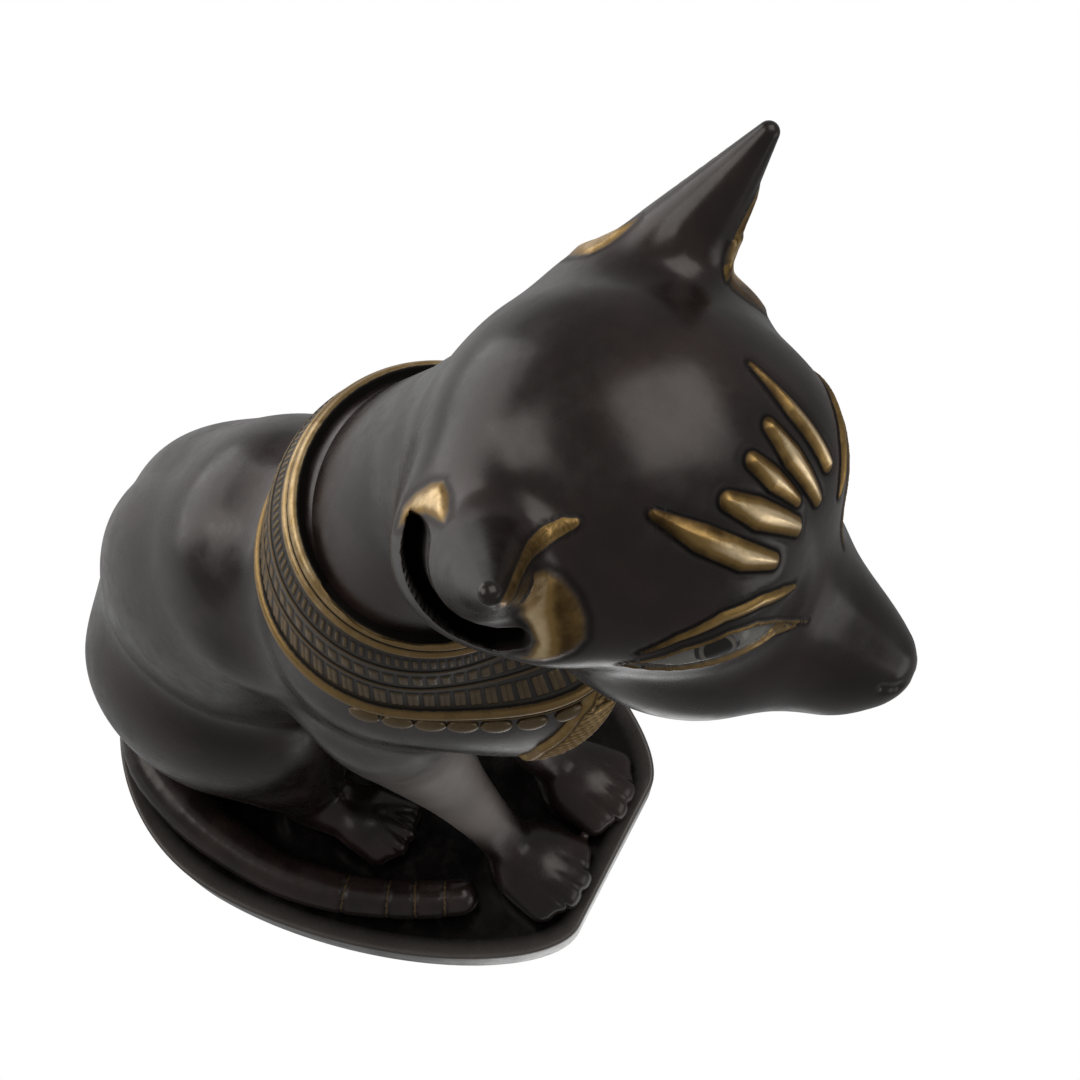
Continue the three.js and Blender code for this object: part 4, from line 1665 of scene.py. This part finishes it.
@dataclass
class Collar:
    """The broad collar: cords, rows of cells and bands round the chest."""

    body: Form
    columns: int = 720
    rows: int = 110
    thickness: float = 1.3
    root: float = -0.9
    skirt: float = 0.045
    top: float = 133.9
    foot: float = 114.0
    top_fall: float = 0.3
    foot_fall: float = 0.18
    drop: float = 19.0
    radius: float = 22.0
    axis: float = -24.2
    far: float = 60.0
    rounds: int = 45
    stride: float = 0.85
    bead_size: Spot = (2.15, 1.45, 0.75)
    bead_start: float = -19.0
    beads_before: int = 6
    bead_turn: float = 11.2
    bead_end: float = 100.0
    bead_line: float = 1.15

    def line(self, share: Array) -> tuple[Array, Array]:
        """Gives the height and the fall of one of the collar's lines.

        Args:
            share: How far down the collar it is.

        Returns:
            The height at the collar's axis, and the fall towards the front.
        """
        up = self.top + share * (self.foot - self.top)
        fall = self.top_fall + share * (self.foot_fall - self.top_fall)
        return up, fall

    def wrap(self, angle: Array, share: Array) -> tuple[Array, Array]:
        """Lays places of the collar on the chest.

        Args:
            angle: The angle from the front, positive to the cat's left.
            share: How far down the collar they are.

        Returns:
            The places on the chest, and the way out of it there.
        """
        up, fall = self.line(share)
        ahead = np.cos(angle)
        direction = np.column_stack([np.sin(angle), -ahead, -fall * ahead])
        direction /= np.linalg.norm(direction, axis=1)[:, None]
        centre = np.column_stack([np.zeros(len(up)), np.full(len(up), self.axis), FLOOR_UP + up])
        reach = np.full(len(up), self.far)
        for _ in range(self.rounds):
            reach -= self.stride * self.body(centre + direction * reach[:, None])
        points = centre + direction * reach[:, None]
        return points, outward(self.body, points)

    def profile(self, angle: Array, share: Array) -> tuple[Array, ...]:
        """Works out the collar's relief and paint.

        Args:
            angle: The angle from the front.
            share: How far down the collar.

        Returns:
            The height over the chest, the depth inside the gold, the ink, and the gold's strength and tone.
        """
        field_height = 0.62 * self.thickness
        height = np.full(len(angle), field_height)
        gold = np.full(len(angle), -0.5)
        ink_and_shade = np.zeros(len(angle))

        def cord(low: float, high: float, rise: float) -> None:
            """Lays a round gold cord with dark edges along the collar.

            Args:
                low: How far down it starts.
                high: How far down it ends.
                rise: Its height.
            """
            middle, half = (low + high) / 2, (high - low) / 2
            arch = np.sqrt(np.clip(1.0 - np.square((share - middle) / half), 0.0, 1.0))
            nonlocal height, gold, ink_and_shade
            height += rise * arch
            gold = np.maximum(gold, (half - np.abs(share - middle)) * self.drop - 0.08)
            edge = np.minimum(np.abs(share - low), np.abs(share - high)) * self.drop
            ink_and_shade = np.maximum(ink_and_shade, 0.8 * bell(edge, 0.14))

        cord(0.0, 0.075, 0.6)
        cord(0.08, 0.14, 0.45)
        cord(0.3, 0.33, 0.25)
        cord(0.54, 0.575, 0.25)
        cord(0.85, 0.955, 0.85)
        cord(0.975, 1.0, 0.25)
        split_row = 66
        cells = ((0.18, 0.265, 118, 0.55), (0.385, 0.495, 74, 0.7), (0.62, 0.8, split_row, 0.74))
        for low, high, count, fill in cells:
            turn = angle * count / (2 * np.pi)
            cell = np.abs(turn - np.floor(turn) - 0.5) * 2.0
            pitch = 2 * np.pi * self.radius / count
            aside = (fill - cell) * pitch / 2
            down = np.minimum(share - low, high - share) * self.drop
            inside = np.minimum(aside, down)
            height += 0.2 * smooth_step(-0.15, 0.35, inside)
            if count == split_row:
                split = cell * pitch / 2
                height -= 0.1 * bell(split, 0.16) * (inside > 0.1)
                ink_and_shade = np.maximum(ink_and_shade, 0.4 * bell(split, 0.12) * (inside > 0.1))
            gold = np.maximum(gold, inside - 0.04)
            ink_and_shade = np.maximum(ink_and_shade, 0.42 * bell(inside, 0.2) * (inside < 0.12))
        rows = (share > 0.15) & (share < 0.84)
        # The gold covers less and is duller towards the cat's right front, and fuller towards its left side
        # and back.
        worn = 0.5 + 0.5 * smooth_step(0.25, 0.95, np.abs(np.sin((angle + 0.95) * 0.75)))
        strength = np.where(rows, 0.56, 0.85) * np.where(rows, worn, 0.6 + 0.4 * worn)
        tone = np.where(rows, 0.42, np.where(share > 0.5, 0.5, 0.66)) * (0.6 + 0.4 * worn)
        return height, gold, ink_and_shade, strength, tone

    def build(self) -> bpy.types.Object:
        """Models the collar and paints it.

        Returns:
            The piece.
        """
        piece, across, along = flat_grid(self.columns, self.rows)
        angle = (across + TINY) * np.pi
        down = (1.0 - along) / 2
        share = np.clip((down - self.skirt) / (1 - 2 * self.skirt), 0.0, 1.0)
        rim = np.minimum(np.minimum(down, 1 - down) / self.skirt, 1.0)
        points, out = self.wrap(angle, share)
        height, gold, ink_and_shade, strength, tone = self.profile(angle, share)
        stand = self.root + (height - self.root) * np.sin(rim * np.pi / 2)
        write_points(piece, points + out * stand[:, None])
        Paint(np.where(rim < 0.6, -0.5, gold), ink_and_shade, strength, tone).store(piece)
        edit(piece)
        bpy.ops.mesh.remove_doubles(threshold=1e-6)
        bpy.ops.mesh.normals_make_consistent(inside=False)
        done_editing()
        return finish_piece(piece, "collar", COLLAR_FINISH)

    def beads(self) -> bpy.types.Object:
        """Models one drop bead and hangs its copies along the collar's foot.

        Returns:
            The beads, joined.
        """
        bpy.ops.object.select_all(action="DESELECT")
        bpy.ops.mesh.primitive_uv_sphere_add(segments=20, ring_count=12, radius=1.0)
        model = bpy.context.active_object
        start = self.bead_start - self.bead_turn * self.beads_before
        angles = np.radians(np.arange(start, self.bead_end, self.bead_turn))
        places, out = self.wrap(angles, np.full(len(angles), self.bead_line))
        beads = []
        for index in range(len(angles)):
            copy = model.copy()
            copy.data = model.data.copy()
            bpy.context.collection.objects.link(copy)
            normal = Vector(out[index])
            turn = normal.to_track_quat("Z", "Y")
            tangent = Vector(places[min(index + 1, len(angles) - 1)] - places[max(index - 1, 0)])
            tangent -= normal * tangent.dot(normal)
            local = turn.inverted() @ tangent.normalized()
            spin = Euler((0, 0, math.atan2(local.y, local.x))).to_quaternion()
            copy.rotation_mode = "QUATERNION"
            copy.rotation_quaternion = turn @ spin
            copy.location = Vector(places[index] + 0.05 * out[index]) * MM
            copy.scale = Vector(self.bead_size) * MM
            beads.append(copy)
        bpy.data.objects.remove(model)
        piece = join(beads)
        count = len(piece.data.vertices)
        coat = Paint.bare(count)
        coat.brush(np.full(count, 1.0), tone=0.4, strength=0.32)
        coat.store(piece)
        return finish_piece(piece, "collar_beads", COLLAR_FINISH)


@dataclass
class Pendant:
    """The winged pendant on the breast."""

    body: Form
    columns: int = 170
    rows: int = 120
    ahead: float = 90.0
    farthest: float = 62.0
    rounds: int = 60
    stride: float = 0.85
    thickness: float = 1.0
    half_width: float = 16.0
    top: float = 115.0
    drop: float = 24.0
    wing_root: tuple[float, float] = (1.5, 109.0)
    wing_tip: tuple[float, float] = (12.3, 94.4)
    disc_up: float = 105.0
    scroll: tuple[float, float] = (4.7, 106.3)
    rib_pitch: float = 1.25

    def build(self) -> bpy.types.Object:
        """Models the pendant and paints it.

        Returns:
            The piece.
        """
        piece, across, along = flat_grid(self.columns, self.rows)
        side = across * self.half_width
        up = self.top - (1.0 - along) / 2 * self.drop
        start = np.column_stack([side, np.full(len(side), -self.ahead), FLOOR_UP + up])
        inward = np.array([0.0, 1.0, 0.0])
        reach = np.zeros(len(side))
        for _ in range(self.rounds):
            gap = self.body(start + inward * reach[:, None])
            reach = np.minimum(reach + self.stride * np.clip(gap, -4, 30), self.farthest)
        points = start + inward * reach[:, None]
        out = outward(self.body, points)
        height, gold, ink_and_shade = self.profile(side, up)
        write_points(piece, points + out * height[:, None])
        Paint(gold, ink_and_shade, np.full(len(side), 0.85), np.full(len(side), 0.55)).store(piece)
        edit(piece)
        bpy.ops.mesh.normals_make_consistent(inside=False)
        done_editing()
        modify(piece, "SOLIDIFY", thickness=self.thickness * MM, offset=-1.0)
        return finish_piece(piece, "pendant", COLLAR_FINISH)

    def profile(self, side: Array, up: Array) -> tuple[Array, Array, Array]:
        """Works out the pendant's outline, ribs and border.

        Args:
            side: Millimetres to the cat's left.
            up: Millimetres above the plinth's floor.

        Returns:
            The height over the breast, the depth inside the gold, and the ink.
        """
        across = np.abs(side)
        run = np.array([self.wing_tip[0] - self.wing_root[0], self.wing_tip[1] - self.wing_root[1]])
        length = float(np.linalg.norm(run))
        run /= length
        local = np.column_stack([across - self.wing_root[0], up - self.wing_root[1]])
        along = local @ run
        off = local @ np.array([-run[1], run[0]])
        half = np.interp(along / length, (0.0, 0.35, 0.8, 1.0), (3.0, 3.9, 3.1, 1.2))
        wing = np.minimum(half - np.abs(off), np.minimum(along + 3.0, length + 1.0 - along))
        disc = 3.1 - np.hypot(side, up - self.disc_up)
        inside = np.maximum(wing, disc)
        height = -0.6 + 1.5 * smooth_step(-0.35, 0.6, inside)
        ribbed = smooth_step(0.9, 1.3, wing) * (disc < 0.0)
        slant = along - 0.45 * off
        ribs = np.cos(2 * np.pi * slant / self.rib_pitch)
        height += (0.16 * ribs + 0.05) * ribbed
        ink_and_shade = 0.85 * smooth_step(0.0, 0.8, -ribs) * ribbed
        ink_and_shade = np.maximum(ink_and_shade, 0.75 * bell(wing - 0.95, 0.18) * (disc < 0.0))
        spiral = np.hypot(across - self.scroll[0], up - self.scroll[1])
        height += 0.35 * bell(spiral - 1.5, 0.45) - 0.2 * bell(spiral, 0.6)
        ink_and_shade = np.maximum(ink_and_shade, 0.8 * bell(spiral - 0.7, 0.25))
        height += 0.3 * bell(disc - 0.8, 0.4) * (disc > 0)
        ink_and_shade = np.maximum(ink_and_shade, 0.8 * bell(inside + 0.15, 0.2))
        return height, inside, ink_and_shade


@dataclass
class Plinth:
    """The low plinth: an egg-shaped slab with a rolled rim round its dished floor."""

    height: float = 12.0
    floor_depth: float = 2.5
    rim_width: float = 4.2
    edge: float = 1.4
    front: float = 57.5
    rear: float = 57.5
    side: float = 46.0
    steps: int = 40

    def curve(self, corners: Corners, share: float) -> tuple[float, float]:
        """Gives a place on a curve that four corners draw.

        Args:
            corners: The start, the two handles and the end.
            share: How far along it the place is.

        Returns:
            The place.
        """
        left = 1 - share
        weights = (left**3, 3 * share * left**2, 3 * share**2 * left, share**3)
        return (
            sum(weight * corner[0] for weight, corner in zip(weights, corners)),
            sum(weight * corner[1] for weight, corner in zip(weights, corners)),
        )

    def plan(self) -> list[tuple[float, float]]:
        """Gives the plinth's outline, seen from above, all round.

        Returns:
            Its corners.
        """
        flat = 0.35 * self.side
        widest = (self.side, 0.21 * self.rear)
        shoulder = (self.side, -0.35 * self.front)
        front = ((flat, -self.front), (0.61 * self.side, -self.front), shoulder, widest)
        rear = (widest, (self.side, 0.64 * self.rear), (0.57 * self.side, self.rear), (0.0, self.rear))
        right = [self.curve(front, step / self.steps) for step in range(self.steps)]
        right += [self.curve(rear, step / self.steps) for step in range(self.steps + 1)]
        blunt = [(flat * share / 4, -self.front) for share in range(-3, 4)]
        left = [(-x, y) for x, y in reversed(right[:-1])]
        return blunt + right + left

    def build(self) -> bpy.types.Object:
        """Models the plinth and paints it.

        Returns:
            The piece.
        """
        outline = self.plan()
        bpy.ops.object.select_all(action="DESELECT")
        bpy.ops.mesh.primitive_circle_add(vertices=len(outline), radius=1.0, fill_type="NGON")
        piece = bpy.context.active_object
        write_points(piece, np.array([(x, y, 0.0) for x, y in outline]))
        edit(piece)
        bpy.ops.mesh.extrude_region_move(TRANSFORM_OT_translate={"value": (0, 0, self.height * MM)})
        done_editing()
        self.select_top(piece)
        bpy.ops.mesh.inset(thickness=self.rim_width * MM, depth=0.0)
        bpy.ops.transform.translate(value=(0, 0, -self.floor_depth * MM))
        bpy.ops.mesh.select_all(action="SELECT")
        bpy.ops.mesh.normals_make_consistent(inside=False)
        done_editing()
        sharp = math.radians(40)
        modify(piece, "BEVEL", width=self.edge * MM, segments=6, limit_method="ANGLE", angle_limit=sharp)
        points = read_points(piece)
        Paint.bare(len(points)).store(piece)
        # A painted highlight in satin grey along the rim, and the wall lighter towards its foot.
        rim = smooth_step(self.height - self.floor_depth + 0.4, self.height - 0.2, points[:, 2])
        wall = 0.5 * smooth_step(6.0, 2.0, points[:, 2])
        paint(piece, "painted_sheen", 0.45 * np.maximum(rim, wall))
        finish_piece(piece, "plinth", PLINTH_FINISH)
        only(piece)
        bpy.ops.object.shade_smooth_by_angle(angle=math.radians(35))
        return piece

    def select_top(self, piece: bpy.types.Object) -> None:
        """Opens the plinth with its top face selected.

        Args:
            piece: The plinth.
        """
        heights = np.array([face.center.z for face in piece.data.polygons])
        ups = np.array([abs(face.normal.z) for face in piece.data.polygons])
        edit(piece, (heights > self.height * MM * 0.9) & (ups > 0.9))


@dataclass(frozen=True)
class SoftBox:
    """A square soft light: its place and what it points at in metres, its side and its watts."""

    name: str
    place: Spot
    middle: Spot
    size: float
    power: float

    def hang(self) -> None:
        """Hangs the light, turned to what it points at."""
        lamp = bpy.data.lights.new(self.name, "AREA")
        lamp.shape = "SQUARE"
        lamp.size = self.size
        lamp.energy = self.power
        holder = bpy.data.objects.new(self.name, lamp)
        bpy.context.collection.objects.link(holder)
        holder.location = self.place
        aim = Vector(self.middle) - Vector(self.place)
        holder.rotation_euler = aim.to_track_quat("-Z", "Y").to_euler()


@dataclass
class Studio:
    """The pale floor, the soft lights and the camera."""

    azimuth: float = -61.6
    elevation: float = 64.7
    eye: Spot = (-57.1, -70.4, 282.8)
    view_angle: float = 45.0
    sky: float = 0.34
    glow: Spot = (-0.02, -0.075, 0.0)
    boxes: tuple[SoftBox, ...] = (
        SoftBox("overhead", (0.203, -0.19, 0.714), (0.0, -0.02, 0.11), 0.5, 1.95),
        SoftBox("rear right", (-0.306, 0.51, 0.634), (0.0, -0.02, 0.11), 0.5, 2.2),
        SoftBox("rear", (0.05, 0.8, 0.2), (0.0, -0.02, 0.11), 0.8, 4.2),
        SoftBox("front", (0.1, -0.8, 0.1), (0.0, -0.02, 0.05), 0.5, 1.0),
    )

    def build(self) -> None:
        """Sets up the floor, the lights and the camera."""
        self.floor()
        self.world()
        self.lights()
        self.camera()

    def floor(self) -> None:
        """Lays the pale floor: plain white to the camera, and to other rays a glow that lights the figure,
        brightest in a patch just in front of the plinth and brighter behind it.
        """
        bpy.ops.object.select_all(action="DESELECT")
        bpy.ops.mesh.primitive_plane_add(size=6.0, location=(0, 0, 0))
        ground = bpy.context.active_object
        ground.name = ground.data.name = "studio_floor"
        material = bpy.data.materials.new("pale floor")
        material.use_nodes = True
        hand = Shader(material.node_tree)
        material.node_tree.nodes.clear()
        seen = hand.add("ShaderNodeEmission", {"Strength": 1.0})
        place = hand.add("ShaderNodeTexCoord").outputs["Object"]
        away = hand.add("ShaderNodeVectorMath", {0: place, 1: self.glow}, operation="DISTANCE")
        # A glowing patch on the floor just in front of the plinth, which lights the figure and shows in its
        # reflections.
        near = hand.ramp(away.outputs["Value"], 0.05, 0.015, 0.0, 1.1)
        back = hand.add("ShaderNodeSeparateXYZ", {0: place}).outputs["Y"]
        behind = hand.ramp(back, 0.0, 0.25, 0.3, 0.7)
        lit = hand.add("ShaderNodeEmission", {"Strength": hand.math("ADD", near, behind)})
        straight = hand.add("ShaderNodeLightPath").outputs["Is Camera Ray"]
        both = hand.add("ShaderNodeMixShader", {0: straight, 1: lit.outputs[0], 2: seen.outputs[0]})
        out = hand.add("ShaderNodeOutputMaterial")
        hand.set(out.inputs["Surface"], both.outputs[0])
        ground.data.materials.append(material)

    def world(self) -> None:
        """Surrounds the figure with soft white light."""
        world = bpy.data.worlds.new("studio")
        bpy.context.scene.world = world
        world.use_nodes = True
        background = world.node_tree.nodes["Background"]
        background.inputs["Color"].default_value = (1, 1, 1, 1)
        background.inputs["Strength"].default_value = self.sky
        bpy.context.scene.view_settings.view_transform = "Standard"

    def lights(self) -> None:
        """Hangs the soft boxes."""
        for box in self.boxes:
            box.hang()

    def camera(self) -> None:
        """Places the camera where the photograph was taken from."""
        lens = bpy.data.cameras.new("camera")
        lens.sensor_width = 36.0
        lens.sensor_fit = "HORIZONTAL"
        lens.angle = math.radians(self.view_angle)
        lens.clip_start = 0.01
        holder = bpy.data.objects.new("camera", lens)
        bpy.context.collection.objects.link(holder)
        turn, tilt = math.radians(self.azimuth), math.radians(self.elevation)
        back = Vector((math.sin(turn) * math.cos(tilt), -math.cos(turn) * math.cos(tilt), math.sin(tilt)))
        holder.location = Vector(self.eye) * MM
        holder.rotation_euler = (-back).to_track_quat("-Z", "Y").to_euler()
        bpy.context.scene.camera = holder


def main() -> None:
    """Builds the figure piece by piece, then the studio."""
    logging.basicConfig(level=logging.INFO, format="%(name)s %(message)s")
    head = Head()
    body = Body()
    torso = body.torso()

    def worn(points: Array) -> Array:
        """Gives the distance to the chest or the neck, whichever is nearer."""
        return np.minimum(torso(points), head.neck(points))

    head.build()
    body.build()
    Tail().build()
    collar = Collar(body=worn)
    collar.build()
    collar.beads()
    Pendant(body=torso).build()
    Plinth().build()
    Studio().build()


if __name__ == "__main__":
    main()
